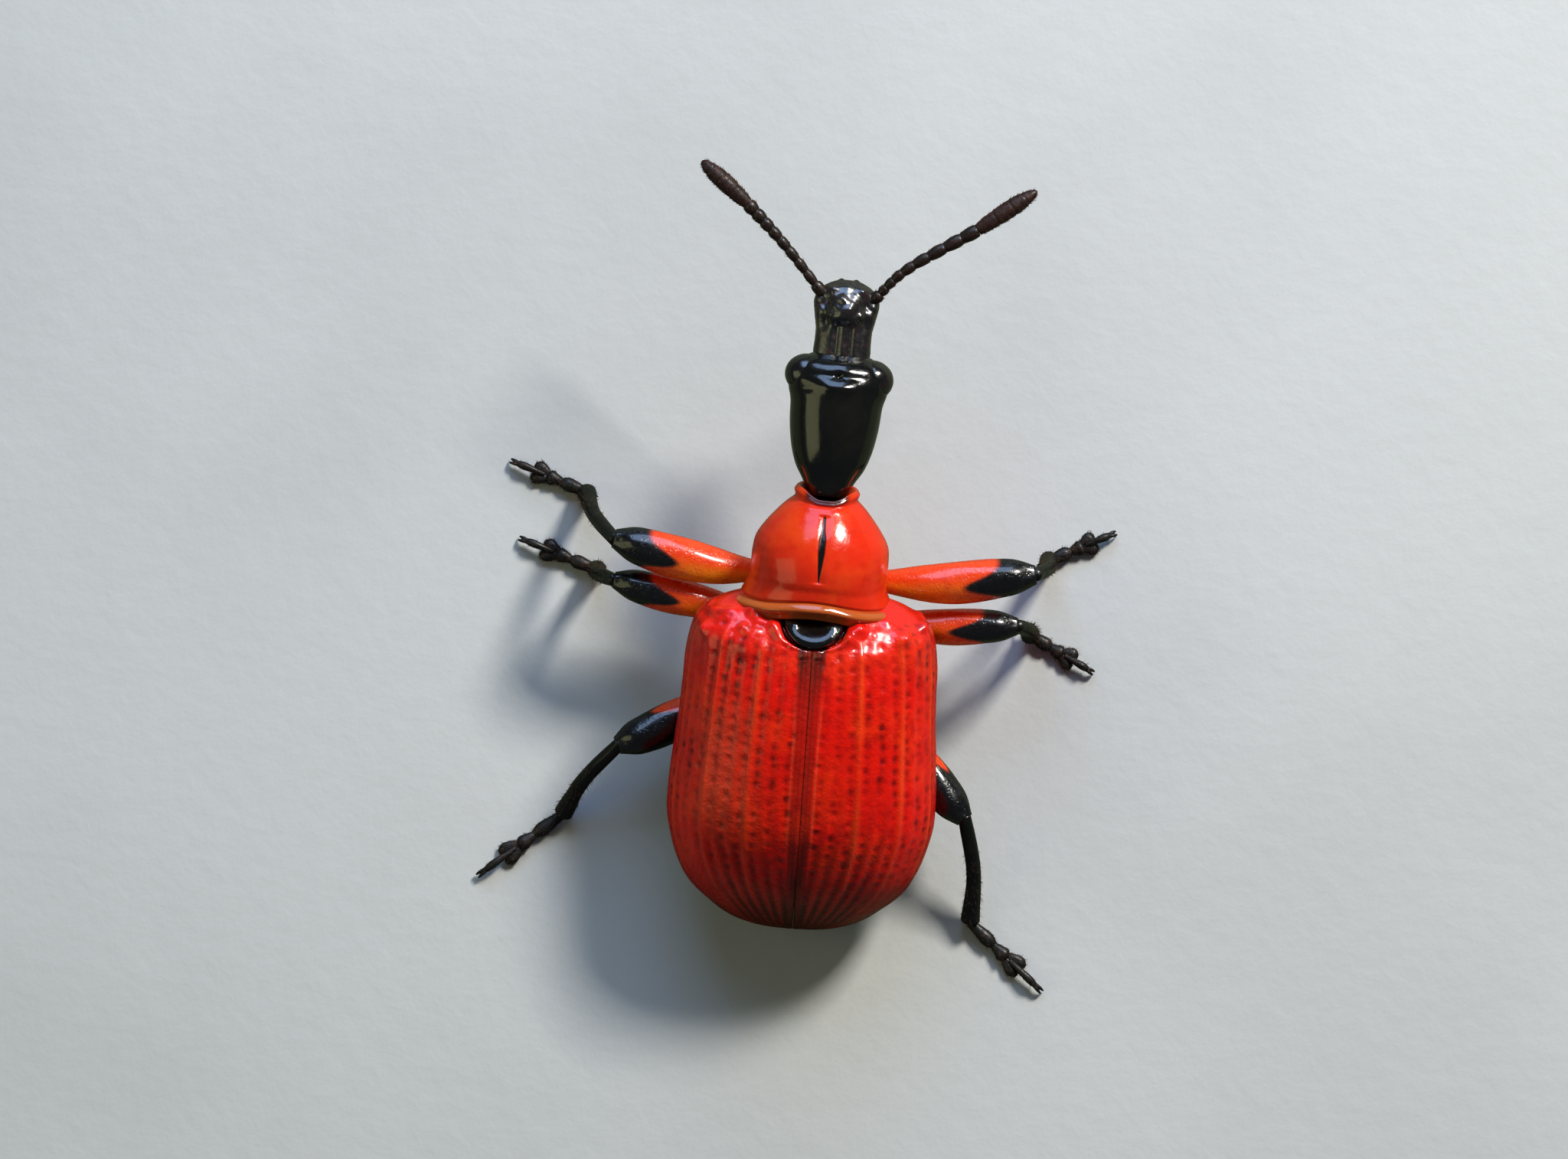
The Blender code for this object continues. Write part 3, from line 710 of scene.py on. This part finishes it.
def wing_case(name, side, random):
    """One wing case: a curved plate with rows of coarse dark pits between low ribs."""
    rows = spread(HIND_BODY, CASE_ROWS)
    fine_angles = math.pi / 2 + (MARGIN_ANGLE - math.pi / 2) * np.linspace(0, 1, 400)
    outer = np.array([even(row, CASE_COLUMNS) for row in hind_skin(rows, fine_angles)])
    across = np.array([distances(row) for row in outer])
    girth = across[:, -1:]
    t = across / np.maximum(girth, 1e-6)
    along = distances(outer[:, CASE_COLUMNS // 3])[:, None]
    length = along[-1, 0]
    y = outer[..., 1]
    centres = np.stack(np.broadcast_arrays(0.0 * y, y, widest_level(y)), axis=2)

    # Pits, each a little off its place in the row
    lane = t * PIT_ROWS
    row_number = np.clip(np.rint(lane).astype(int), 1, PIT_ROWS - 1)
    beside = (lane - row_number) * girth / PIT_ROWS + 0.010 * np.sin(along * 6 + row_number * 2.1)
    place = along / PIT_PITCH + random.uniform(0, 1, PIT_ROWS)[row_number]
    pit_number = np.rint(place).astype(int)
    pits = (PIT_ROWS, int(length / PIT_PITCH) + 4)
    forward, aside, depth, pit_shade = (random.uniform(*ends, pits) for ends in PIT_VARIATION)
    chosen = (row_number, pit_number)
    before = (place - pit_number - forward[chosen]) * PIT_PITCH
    spot = np.exp(-(((beside + aside[chosen]) / PIT_ACROSS) ** 2) - (before / PIT_ALONG) ** 2)
    spot = spot * step(along, 0.30, 0.60) * (1 - 0.85 * step(along, 0.60 * length, 0.90 * length))
    spot = spot * (1 - step(t, 0.93, 1.0)) * step(girth, 0.8, 1.8)

    # Relief: ribs, knobs and a bump at the shoulder, and edges that roll down
    ribs = (0.5 - 0.5 * np.cos(2 * math.pi * lane)) * (1 - 0.60 * step(along, 0.8, 2.6))
    ribs = ribs * (1 - 0.5 * step(t, 0.5, 0.9))
    costa = sum(hump(lane, middle, 0.20) for middle in COSTAE)
    costa = costa * step(along, 0.5, 0.9) * (1 - step(along, 0.65 * length, 0.95 * length))
    relief = RIB_HEIGHT * ribs * step(along, 0.55, 1.3) * (1 - step(along, length - 1.9, length - 0.7))
    relief = relief + 0.012 * costa - PIT_DEPTH * depth[chosen] * spot
    for where_along, where_across, size, steepness in random.uniform(*KNOB_RANGES, (KNOBS, 4)):
        fade = (1 - step(where_along, 0.65, 1.10)) * (1 - 0.6 * step(where_across, 1.35, 1.80))
        fade = fade * step(along, 0.14, 0.36)
        knob = hump(np.hypot(along - where_along, across - where_across), 0, size)
        relief = relief + steepness * size * fade * knob
    relief = relief + SHOULDER_BUMP * hump(y, 0.32, 0.26) * hump(t, 0.57, 0.12)
    relief = relief + 0.004 * np.sin(along * 9.0 + 3 * t) * np.sin(lane * 0.9 + along * 3.1)
    relief = relief - 0.008 * np.exp(-across / 0.02) - 0.03 * np.exp(-(girth - across) / 0.04)
    relief = relief - 0.03 * np.exp(-(length - along) / 0.05)

    # A well for the scutellum, with a raised lip round it
    outline = scutellum_width(y)
    beyond = outer[..., 0] - outline
    beside_shield = (y < SCUTELLUM[-1][0] + 0.05) & (outline > 0)
    relief = relief - np.where(beside_shield, SCUTELLUM_WELL * (1 - step(beyond, -0.03, 0.03)), 0.0)
    lip = 0.032 * hump(beyond, 0.10, 0.07) * step(y, 0.04, 0.20)
    relief = relief + np.where(y < SCUTELLUM[-1][0] + 0.10, lip, 0.0)

    outer = pushed(outer, relief, False, centres)
    inner = pushed(outer, np.full(y.shape, -CASE_THICKNESS), False, centres)
    for sheet in (outer, inner):
        sheet[..., 0] = side * (np.maximum(sheet[..., 0], 0) + SUTURE)

    # Colours: painted shade in the pits and along their rows, a dark band with pale edges along the suture,
    # painted shade towards the tip and the outer sides, and a painted brownish sheen on the left case
    # Painted shade in the hollows: darker in each pit and along the grooves of the rows.
    stria_shade = hump(beside, 0, 0.036) * step(along, 0.5, 1.0)
    stria_shade = stria_shade * (1 - step(t, 0.93, 1.0)) * (1 - step(along, 3.2, 4.4))
    patchy = 0.60 + 0.40 * np.sin(along * 2.3 + 1.0 + side) * np.sin(lane * 0.8 + 0.6)
    pit = (1.15 * pit_shade[chosen] * spot + 0.20 * stria_shade) * patchy * (1 - 0.9 * costa)
    band_edge = 0.205 - 0.055 * step(along, 0.6, 2.2)
    band = (1 - step(across, band_edge - 0.045, band_edge)) * step(along, 0.40, 0.55)
    streaks = 0.10 * np.cos(2 * math.pi * across / 0.060) + 0.06 * np.sin(along * 5 + across * 20)
    band = band * (0.90 - 0.42 * step(along, 0.8, 1.6) + streaks + 0.16 * step(along, 2.6, 3.8))
    pale = hump(across, band_edge + 0.010, 0.012) * step(along, 1.2, 1.9) * (1 - step(along, 3.2, 3.8))
    streaky = 0.5 + 0.5 * np.sin(lane * 2 * math.pi + 2.0 * np.sin(along * 1.7))
    # Painted shade: streaks near the suture on the rear half, darker towards the tip and down the outer
    # sides.
    painted_shade = 0.34 * step(along, 2.4, 3.4) * (1 - step(lane, 5.0, 7.0)) * streaky
    painted_shade = painted_shade + 0.92 * step(along, 3.0, length) + 0.30 * step(t, 0.55, 0.95)
    polish = 0.10 + 0.85 * (1 - step(along, 0.7, 1.5)) + 0 * t
    # Painted reflection: a patchy brownish sheen on the left case's flank, added into the pale mark.
    painted_sheen = step(along, 1.3, 2.2) * (1 - step(along, 3.0, 3.8)) * hump(lane, 5.4, 2.0) * (side > 0)
    costa = costa * (0.42 + 0.20 * np.sin(along * 3.1 + lane)) * (0.70 if side > 0 else 1.0)
    pale = 0.32 * pale + 0.24 * painted_sheen * (0.7 + 0.3 * patchy)
    marks = {"pit": pit, "band": band, "pale": pale, "costa": costa, "painted_shade": painted_shade, "polish": polish}
    marks = {mark: np.clip([values, values], 0, 0.95) for mark, values in marks.items()}
    parts = plate_parts(placed(outer, BODY), placed(inner, BODY))
    piece(f"wing_case_{name}", parts, LOOKS["case"], [f"elytron_{name}"], "red_wing_case", **marks)


def scutellum():
    """The small black plate between the wing cases, domed, with a dip in front."""
    y = np.linspace(SCUTELLUM[0][0], SCUTELLUM[-1][0], 60)
    width = np.interp(y, *np.array(SCUTELLUM).T)
    base = hind_rows(y[0], y[-1], len(y))
    arc = np.linspace(-1, 1, 61)
    x = width[:, None] * arc
    reach = np.hypot(x / 0.43, (y[:, None] - 0.02) / 0.40)
    peaks = hump(np.abs(x), 0.22, 0.07) * hump(y, 0.10, 0.05)[:, None]
    dome = SCUTELLUM_RISE + 0.050 * hump(reach, 0.70, 0.20) + 0.045 * peaks - 0.12 * step(reach, 0.88, 1.02)
    top = np.stack(np.broadcast_arrays(x, y[:, None], base[:, 2, None] + dome), axis=2)
    under = top - np.array((0, 0, SCUTELLUM_DEPTH))
    parts = plate_parts(placed(top, BODY), placed(under, BODY))
    piece("scutellum_plate", parts, LOOKS["black"], ["scutellum"], "black_cuticle")


def under_body(name, start, end, grooves, nodes):
    """A length of the hind body under the wing cases, with its cross grooves."""
    rows = hind_rows(start, end, 150)
    angle = all_round(160)
    skin = hind_skin(rows, angle)
    steep = np.arcsin(np.sin(angle))
    covered = step(steep, UNDERSIDE_ANGLE, UNDERSIDE_ANGLE + math.radians(10))
    place = np.linspace(0, 1, len(rows))[:, None]
    heights = -0.05 - 0.30 * covered + 0 * place
    if grooves:
        phase = (place * grooves) % 1.0
        heights = heights - 0.05 * (1 - covered) * (np.exp(-phase / 0.06) + np.exp(-(1 - phase) / 0.20))
    else:
        heights = heights - 0.05 * hump(np.abs(np.sin(angle / 2 - math.pi * 0.75)), 0, 0.03)
    heights = heights - 0.06 * np.exp(-place / 0.01) - 0.06 * np.exp(-(1 - place) / 0.01)
    parts = tube_parts(placed(pushed(skin, heights), BODY))
    piece(name, parts, LOOKS["pitted"], nodes, "black_cuticle")


def pronotum():
    """The bell-shaped shield, with a flared collar, a groove and bead along its base and a black line."""
    rows = spread(PRONOTUM, 260)
    angle = all_round(260)
    skin = ovals(rows, PRONOTUM_LEVEL, angle + 0.8 * np.cos(angle), 2.1)
    x, y, z = (skin[..., k] for k in range(3))
    upper = step(z, -0.25, 0.10)
    groove = -0.034 * hump(y, GROOVE_Y, 0.020) * upper
    bead = (0.068 + 0.008 * np.sin(x * 11 + 1)) * hump(y, GROOVE_Y + 0.092, 0.060) * upper
    collar = 0.008 * hump(y, COLLAR_Y, 0.034) - 0.008 * hump(y, COLLAR_Y + 0.08, 0.030)
    lobes = 0.010 * hump(y, COLLAR_Y, 0.04) * hump(np.abs(x), 0.40, 0.10) * hump(z, 0.05, 0.18)
    width = np.interp(y, *np.array(LINE).T)
    first, last = LINE[0][0], LINE[-1][0]
    inside = step(y, first - LINE_FADE, first + LINE_FADE) * (1 - step(y, last - LINE_FADE, last + LINE_FADE))
    on_top = z > 0
    line = np.where(on_top, inside * (1 - step(np.abs(x), width * 0.8, width * 1.1 + 0.004)), 0.0)
    furrow = -0.012 * line - np.where(on_top, 0.020 * inside * hump(x, 0, 0.07), 0.0)
    # Painted shade: the middle of the collar's front edge darkened where the neck goes in.
    collar_shade = 0.92 * (1 - step(y, -1.52, -1.44)) * (1 - step(np.abs(x), 0.24, 0.33)) * on_top
    wrinkles = 0.0010 * np.sin(y * 46 + 2.5 * np.sin(x * 4)) * step(np.abs(x), 0.2, 0.8) * upper
    waves = 0.006 * np.sin(x * 6.0 + 1.0) * np.sin(y * 5.5) * hump(y, -0.7, 0.5)
    skin = pushed(skin, groove + bead + collar + lobes + furrow + wrinkles + waves)
    front_notch = FRONT_NOTCH * (1 - step(y, -1.55, -1.32)) * (1 - step(np.abs(x), 0.08, 0.40))
    rear_notch = REAR_NOTCH * step(y, -0.5, 0.0) * hump(x, 0, 0.62)
    skin[..., 1] += front_notch * step(z, 0.0, 0.3) - rear_notch * step(z, 0.0, 0.5)
    rim = 0.85 * step(y, GROOVE_Y - 0.03, GROOVE_Y + 0.03) + 0.25 * hump(y, -1.58, 0.06)
    ends = []
    for ring, way in ((skin[0], -1), (skin[-1], 1)):
        centre = ring.mean(axis=0)
        for scale, ahead in ((0.960, 0.014), (0.865, 0.006), (0.760, -0.100)):
            ends.append(centre + (ring - centre) * scale + np.array((0, ahead * way, 0)))
    rings = np.array([*ends[2::-1], *skin, *ends[3:]])
    pad = np.zeros((3, skin.shape[1]))
    # The black line together with the painted shade of the collar; the ring deep in the collar's opening is
    # painted dark as shade too.
    dark = np.maximum(line, collar_shade)
    marks = {
        "rim": np.concatenate((pad + 0.2, np.clip(rim, 0, 1), pad + 0.85)),
        "line": np.concatenate((pad[:1] + 0.9, dark[:1], dark[:1], dark, pad)),
    }
    parts = tube_parts(placed(rings, FRONT))
    piece("pronotum_shield", parts, LOOKS["pronotum"], ["pronotum"], "red_cuticle", **marks)


def skull_skin(table, count, sides, squareness):
    rows = spread(table, count)
    levels = (rows[:, 2] + rows[:, 3]) / 2
    rows[:, 0] *= -1
    return ovals(rows, levels, all_round(sides), squareness)


def head():
    """The long smooth capsule, with a forehead ridge, a small pit between the eyes and a neck."""
    skin = skull_skin(HEAD, 240, 180, 2.0)
    x, y, z = skin[..., 0], -skin[..., 1], skin[..., 2]
    top = step(z, 0.05, 0.30)
    pit = -0.050 * hump(x, 0.01, 0.045) * hump(y, 1.45, 0.035) * top
    ridge = (0.036 * hump(y, 1.27, 0.070) - 0.030 * hump(y, 1.43, 0.060)) * hump(x, 0, 0.32) * top
    behind = -0.016 * hump(y, 1.25, 0.06) * hump(np.abs(x), 0.40, 0.20) * top
    throat = -0.03 * hump(x, 0, 0.05) * step(-z, 0.15, 0.3) * step(y, 0.5, 0.8)
    skin = pushed(skin, pit + ridge + behind + throat)
    away = np.abs(skin[..., 0]) - EYE_PLACE[0], y - EYE_PLACE[1], z - EYE_PLACE[2]
    beyond = (np.sqrt(sum((a / r) ** 2 for a, r in zip(away, EYE_RADII))) - 1) * EYE_RADII[1]
    parts = tube_parts(placed(pushed(skin, EYE_FILLET * hump(beyond, -0.05, 0.11)), SKULL))
    piece("head_capsule", parts, LOOKS["black"], ["head"], "black_cuticle")


def rostrum():
    """The snout: furrowed behind, broad and knobbly between the feelers, dipping at its front edge."""
    skin = skull_skin(ROSTRUM, 200, 160, 2.3)
    x, y, z = skin[..., 0], -skin[..., 1], skin[..., 2]
    top = step(z, -0.02, 0.10)
    heights = 0.090 * hump(x, 0.02, 0.17) * step(y, 2.08, 2.24) * (1 - step(y, 2.26, 2.66))
    for place, knobs in ((x, SNOUT_KNOBS), (np.abs(x), SNOUT_PAIRS)):
        for height, across, across_spread, ahead, ahead_spread in knobs:
            heights += height * hump(place, across, across_spread) * hump(y, ahead, ahead_spread)
    keel = 0.022 * hump(x, 0.0, 0.045) - 0.030 * hump(np.abs(x), 0.10, 0.035)
    heights += keel * step(y, 1.60, 1.75) * (1 - step(y, 2.05, 2.2))
    waves = np.sin(x * 34 + 3 * np.sin(y * 9)) * np.sin(y * 29 + 2 * np.sin(x * 13))
    heights = (heights + 0.008 * waves * hump(y, 2.42, 0.22)) * top
    heights -= 0.05 * hump(np.abs(x), 0.44, 0.10) * hump(z, -0.02, 0.05) * hump(y, 2.25, 0.20)
    parts = tube_parts(placed(pushed(skin, heights), SKULL))
    piece("snout", parts, LOOKS["snout"], ["rostrum"], "black_cuticle")
    rings = 24
    radii = np.interp(np.linspace(0, 1, rings), *np.array(JAW_SHAPE).T)
    for name, side in SIDES.items():
        line = (smooth(JAW_LINE, rings) + JAW_PLACE) * (side, -1, 1)
        parts = tube_parts(placed(sweep(line, radii, 20, flat=0.8), SKULL))
        piece(f"jaw_{name}", parts, LOOKS["black"], [], "black_cuticle")


def ball_rings(rows, columns, gap):
    """A ball of radius 1, as rings along x that leave this gap at its poles, and the rings' angles."""
    theta = np.linspace(gap, math.pi - gap, rows)[:, None]
    phi = all_round(columns)
    rings = np.broadcast_arrays(np.cos(theta), np.sin(theta) * np.cos(phi), np.sin(theta) * np.sin(phi))
    return np.stack(rings, axis=2), theta, phi


def eye(name, side):
    """A polished bulging eye, set in the side of the head."""
    across, ahead, up = EYE_PLACE
    ball, theta, phi = ball_rings(90, 120, 0.02)
    facets = 0.005 * np.sin(theta * 95) * np.sin(phi * 46) * np.sin(theta)
    ball = ball * (1 + facets)[..., None] * EYE_RADII
    ball = ball + np.array((side * across, -ahead, up))
    piece(f"eye_ball_{name}", tube_parts(placed(ball, SKULL)), LOOKS["eye"], [f"eye_{name}"], "eye")


def feeler(name, random):
    """The stalk: a short scape and a row of beads, each wider towards its far end, with fine hairs."""
    base, bend, club_base, tip = FEELERS[name]
    count = BEAD_RINGS * (FEELER_BEADS + 1)
    line = smooth((base, bend, club_base), count)
    place = np.linspace(0, FEELER_BEADS + 1, count)
    within = place % 1.0
    swell = np.sin(math.pi * within**1.35) ** 0.55
    size = np.where(place < 1, SCAPE_SIZE, np.interp(place, *np.array(BEAD_SIZES).T))
    radii = (BEAD_NECK + (BEAD_RADIUS - BEAD_NECK) * swell) * size
    root = np.array(base) - 0.14 * unit(np.array(bend) - np.array(base))
    line = np.vstack((root, line))
    radii = np.concatenate(((0.05,), radii))
    rings = sweep(line, radii, 24)
    piece(f"feeler_{name}", tube_parts(rings), LOOKS["stalk"], [f"antenna_{name}"], "black_cuticle")

    club_line = smooth((club_base, (np.array(club_base) + np.array(tip)) / 2, tip), 90)
    t = np.linspace(0, 1, 90)
    shape = np.interp(t, *np.array(CLUB_SHAPE).T)
    for joint in CLUB_JOINTS:
        shape = shape - 0.06 * hump(t, joint, 0.016)
    club_rings = sweep(club_line, CLUB_RADIUS * shape, 32)
    piece(f"club_{name}", tube_parts(club_rings), LOOKS["club"], [f"antenna_club_{name}"], "antennal_club")

    parts = []
    way = unit(np.array(tip) - np.array(club_base))
    for skin, number, size in ((rings[4:], 300, 0.042), (club_rings[3:-3], 500, 0.040)):
        rows = random.integers(0, len(skin), number)
        columns = random.integers(0, skin.shape[1], number)
        roots = skin[rows, columns]
        ways = unit(roots - skin.mean(axis=1)[rows]) + 1.7 * way
        parts.append(hairs(random, roots, unit(ways), size))
    piece(f"feeler_hairs_{name}", joined(parts), LOOKS["hair"], [], "antennal_club")


def thigh(leg):
    """Coxa, trochanter and femur: the femur is swollen, red, with a pointed black patch at the knee."""
    pair = leg.split("_")[0]
    root = np.array(BODY @ Vector(LEGS[leg][0]))
    knee = np.array(LEGS[leg][1])
    middle = (root + knee) / 2 + np.array(FEMUR_BOW[pair])
    line = smooth((root, middle, knee), THIGH_RINGS)
    t = np.linspace(0, 1, THIGH_RINGS)[:, None]
    radii = FEMUR_SWELL[pair] * smooth_values(FEMUR_PROFILE, THIGH_RINGS)
    rings = sweep(line, radii, THIGH_SIDES)
    angle = all_round(THIGH_SIDES)
    rearwards = rings[..., 1] - line[:, 1, None]
    upwards = rings[..., 2] - line[:, 2, None]
    around = np.arctan2(rearwards, upwards)
    wedge = hump(around, 0.40, 0.50)
    start = KNEE_START[pair] - KNEE_POINT[pair] * wedge + 0.05 * step(np.abs(around), 1.6, 3.0)
    fade = 0.018
    if pair == "hind":
        start = start + 0.30 * hump(around, -0.9, 0.75)
        fade = 0.020
    knee_mark = step(t, start - fade, start + 0.030)
    # Painted glow of light shining through: the rear side of the thigh, towards its root, strongest on the
    # front legs.
    glow = 0.95 * step(rearwards / radii[:, None], -0.1, 0.75) * step(1 - t, 0.20, 0.55)
    glow = glow * (1.0 if pair == "front" else 0.35)
    slit = -0.018 * hump(t, 0.965, 0.03) * hump(np.cos(angle), 0, 0.4)
    rings = pushed(rings, slit + 0.004 * np.sin(angle * 5 + t * 14) * step(t, 0.2, 0.4))
    marks = {"knee": knee_mark, "glow": glow}
    piece(f"thigh_{leg}", tube_parts(rings), LOOKS["thigh"], [f"leg_{leg}_femur"], "leg_cuticle", **marks)

    stem = unit(middle - root)
    trochanter = root + stem * (COXA_RADIUS + 0.02)
    turn = Vector((1, 0, 0)).rotation_difference(Vector(stem)).to_matrix().to_4x4()
    coxa = root + ball_rings(40, 56, 0.03)[0] * COXA_RADIUS * (1, 0.96, 0.98)
    knob = trochanter + placed(ball_rings(24, 36, 0.03)[0] * TROCHANTER_RADII, turn)
    parts = joined((tube_parts(coxa), tube_parts(knob)))
    dark = np.full(len(parts[0]), 0.96 if pair != "front" else 0.25)
    piece(
        f"hip_{leg}", parts, LOOKS["thigh"], [f"leg_{leg}_coxa"], "leg_cuticle", knee=dark, glow=0 * dark
    )


def shin(leg, random):
    """The tibia: slightly bowed, wider at its end, with a spur and a brush of hairs inside."""
    knee = np.array(LEGS[leg][1])
    x, y = LEGS[leg][2]
    ankle = np.array((x, y, TARSUS_TOP))
    outside = np.array((math.copysign(1, x), 0, 0))
    middle = (knee + ankle) / 2 + TIBIA_BOW * outside
    line = smooth((knee - KNEE_DEPTH * unit(middle - knee), middle, ankle), TIBIA_RINGS)
    radii = smooth_values(TIBIA_PROFILE, TIBIA_RINGS)
    radii[-1] *= 0.6
    radii[-2] *= 0.9
    rings = sweep(line, radii, TIBIA_SIDES)
    t = np.linspace(0, 1, TIBIA_RINGS)[:, None]
    rings = pushed(rings, 0.003 * np.sin(t * 23 + 1) * np.sin(2 * all_round(TIBIA_SIDES)))
    toe = np.array((*LEGS[leg][3], 0))
    heading = unit(toe - np.array((x, y, 0)))
    places = ((0.05, 0.0), (0.13, 0.0), (0.17, 0.06))
    spur_line = smooth([ankle - back * heading - (0, 0, drop) for back, drop in places], 12)
    spur = sweep(spur_line, np.linspace(0.035, 0.004, 12), 10)
    parts = joined((tube_parts(rings), tube_parts(spur)))
    piece(f"shin_{leg}", parts, LOOKS["shin"], [f"leg_{leg}_tibia"], "black_cuticle")

    number = 170
    rows = random.integers(30, TIBIA_RINGS - 2, number)
    columns = random.integers(0, TIBIA_SIDES, number)
    roots = rings[rows, columns]
    down = unit(ankle - knee)
    ways = unit(unit(roots - rings.mean(axis=1)[rows]) + 0.9 * down)
    return hairs(random, roots, ways, 0.065)


def foot(leg, random):
    """The tarsus: two slim segments, a two-lobed third, and a claw segment with two joined claws."""
    start, end = (np.array((*place, 0)) for place in LEGS[leg][2:])
    length = np.linalg.norm(end - start)
    heading = (end - start) / length
    across = np.array((-heading[1], heading[0], 0))

    def segment(table, way=1, flat=0.85, sides=28, rows=36):
        points = []
        for along, aside, up, _ in table:
            points.append(start + heading * along * length + across * aside * way + np.array((0, 0, up)))
        radii = np.maximum(smooth_values([row[3] for row in table], rows), 0.004)
        rings = sweep(smooth(points, rows), radii, sides, flat=flat)
        rings[..., 2] = np.maximum(rings[..., 2], 0.0)
        return rings

    rings = [segment(table) for table in FOOT_SEGMENTS]
    rings += [segment(FOOT_LOBE, way, 0.65) for way in (1, -1)]
    rings.append(segment(CLAW_SEGMENT, 1, 1.0, 20))
    rings += [segment(CLAW, way, 1.0, 14, 20) for way in (1, -1)]
    parts = joined([tube_parts(some) for some in rings])
    piece(f"foot_{leg}", parts, LOOKS["foot"], [f"leg_{leg}_tarsus"], "foot_cuticle")

    brushes = []
    for skin, number in zip(rings, FOOT_HAIRS):
        rows = random.integers(3, len(skin) - 2, number)
        columns = random.integers(0, skin.shape[1], number)
        roots = skin[rows, columns]
        ways = unit(unit(roots - skin.mean(axis=1)[rows]) * (1, 1, 0.25) + 0.8 * heading)
        keep = roots[:, 2] > 0.02
        brushes.append(hairs(random, roots[keep], ways[keep], 0.050, 0.18))
    return joined(brushes)


def build():
    random = np.random.default_rng(SEED)
    for name, side in SIDES.items():
        wing_case(name, side, random)
        eye(name, side)
        feeler(name, random)
    scutellum()
    under_body("breast", 0.0, THORAX_END, 0, ["thorax"])
    under_body("belly", THORAX_END, ABDOMEN_END, VENTRITES, ["abdomen"])
    pronotum()
    head()
    rostrum()
    for leg in LEGS:
        thigh(leg)
        brush = joined((shin(leg, random), foot(leg, random)))
        brush[0][:, 2] = np.maximum(brush[0][:, 2], 0.0)
        piece(f"leg_hairs_{leg}", brush, LOOKS["hair"], [], "foot_cuticle")


def stage():
    """The pale floor, the room round it and three soft lights."""
    mesh = bpy.data.meshes.new("floor")
    corners = ((-1, -1), (1, -1), (1, 1), (-1, 1))
    points = [(x * FLOOR_HALF, y * FLOOR_HALF, FLOOR_LEVEL) for x, y in corners]
    mesh.from_pydata(points, [], [(0, 1, 2, 3)])
    mesh.materials.append(floor_look())
    floor = bpy.data.objects.new("floor", mesh)
    bpy.context.scene.collection.objects.link(floor)

    world = bpy.data.worlds.new("Studio")
    world.use_nodes = True
    tree = world.node_tree
    room, backdrop = tree.nodes["Background"], tree.nodes.new("ShaderNodeBackground")
    room.inputs["Color"].default_value = ROOM_COLOUR
    room.inputs["Strength"].default_value = ROOM_STRENGTH
    backdrop.inputs["Color"].default_value = BACKDROP_COLOUR
    seen = tree.nodes.new("ShaderNodeLightPath")
    choice = tree.nodes.new("ShaderNodeMixShader")
    tree.links.new(seen.outputs["Is Camera Ray"], choice.inputs[0])
    tree.links.new(room.outputs[0], choice.inputs[1])
    tree.links.new(backdrop.outputs[0], choice.inputs[2])
    tree.links.new(choice.outputs[0], tree.nodes["World Output"].inputs["Surface"])
    bpy.context.scene.world = world
    bpy.context.scene.view_settings.view_transform = "Standard"

    for name, place, size, power, colour in LIGHTS:
        light = bpy.data.lights.new(name, "AREA")
        light.size = size * MM
        light.energy = power
        light.color = colour
        lamp = bpy.data.objects.new(name, light)
        lamp.location = Vector(place) * MM
        lamp.rotation_mode = "QUATERNION"
        lamp.rotation_quaternion = (Vector((0, 0, 0.001)) - lamp.location).to_track_quat("-Z", "Y")
        bpy.context.scene.collection.objects.link(lamp)


def camera():
    """Looks nearly straight down, from a little behind, with the body leaning in the frame."""
    tilt, lean = math.radians(5), math.radians(4)
    level_right = Vector((-1, 0, 0))
    level_up = Vector((0, -math.cos(tilt), math.sin(tilt)))
    back = Vector((0, math.sin(tilt), math.cos(tilt)))
    right = math.cos(lean) * level_right + math.sin(lean) * level_up
    up = -math.sin(lean) * level_right + math.cos(lean) * level_up
    waist_top = Vector((WAIST_PLACE[0], WAIST_PLACE[1] + 0.247, 2.91))
    aim = waist_top - 0.40 * right + 0.48 * up
    distance, frame_width, sensor = 120.0, 20.48, 36.0
    lens = bpy.data.cameras.new("Camera")
    lens.sensor_width = sensor
    lens.lens = sensor * distance / frame_width
    lens.clip_start, lens.clip_end = 0.01, 5.0
    eye_point = bpy.data.objects.new("Camera", lens)
    turn = Matrix((right, up, back)).transposed()
    eye_point.matrix_world = Matrix.Translation((aim + distance * back) * MM) @ turn.to_4x4()
    bpy.context.scene.collection.objects.link(eye_point)
    bpy.context.scene.camera = eye_point


build()
stage()
camera()
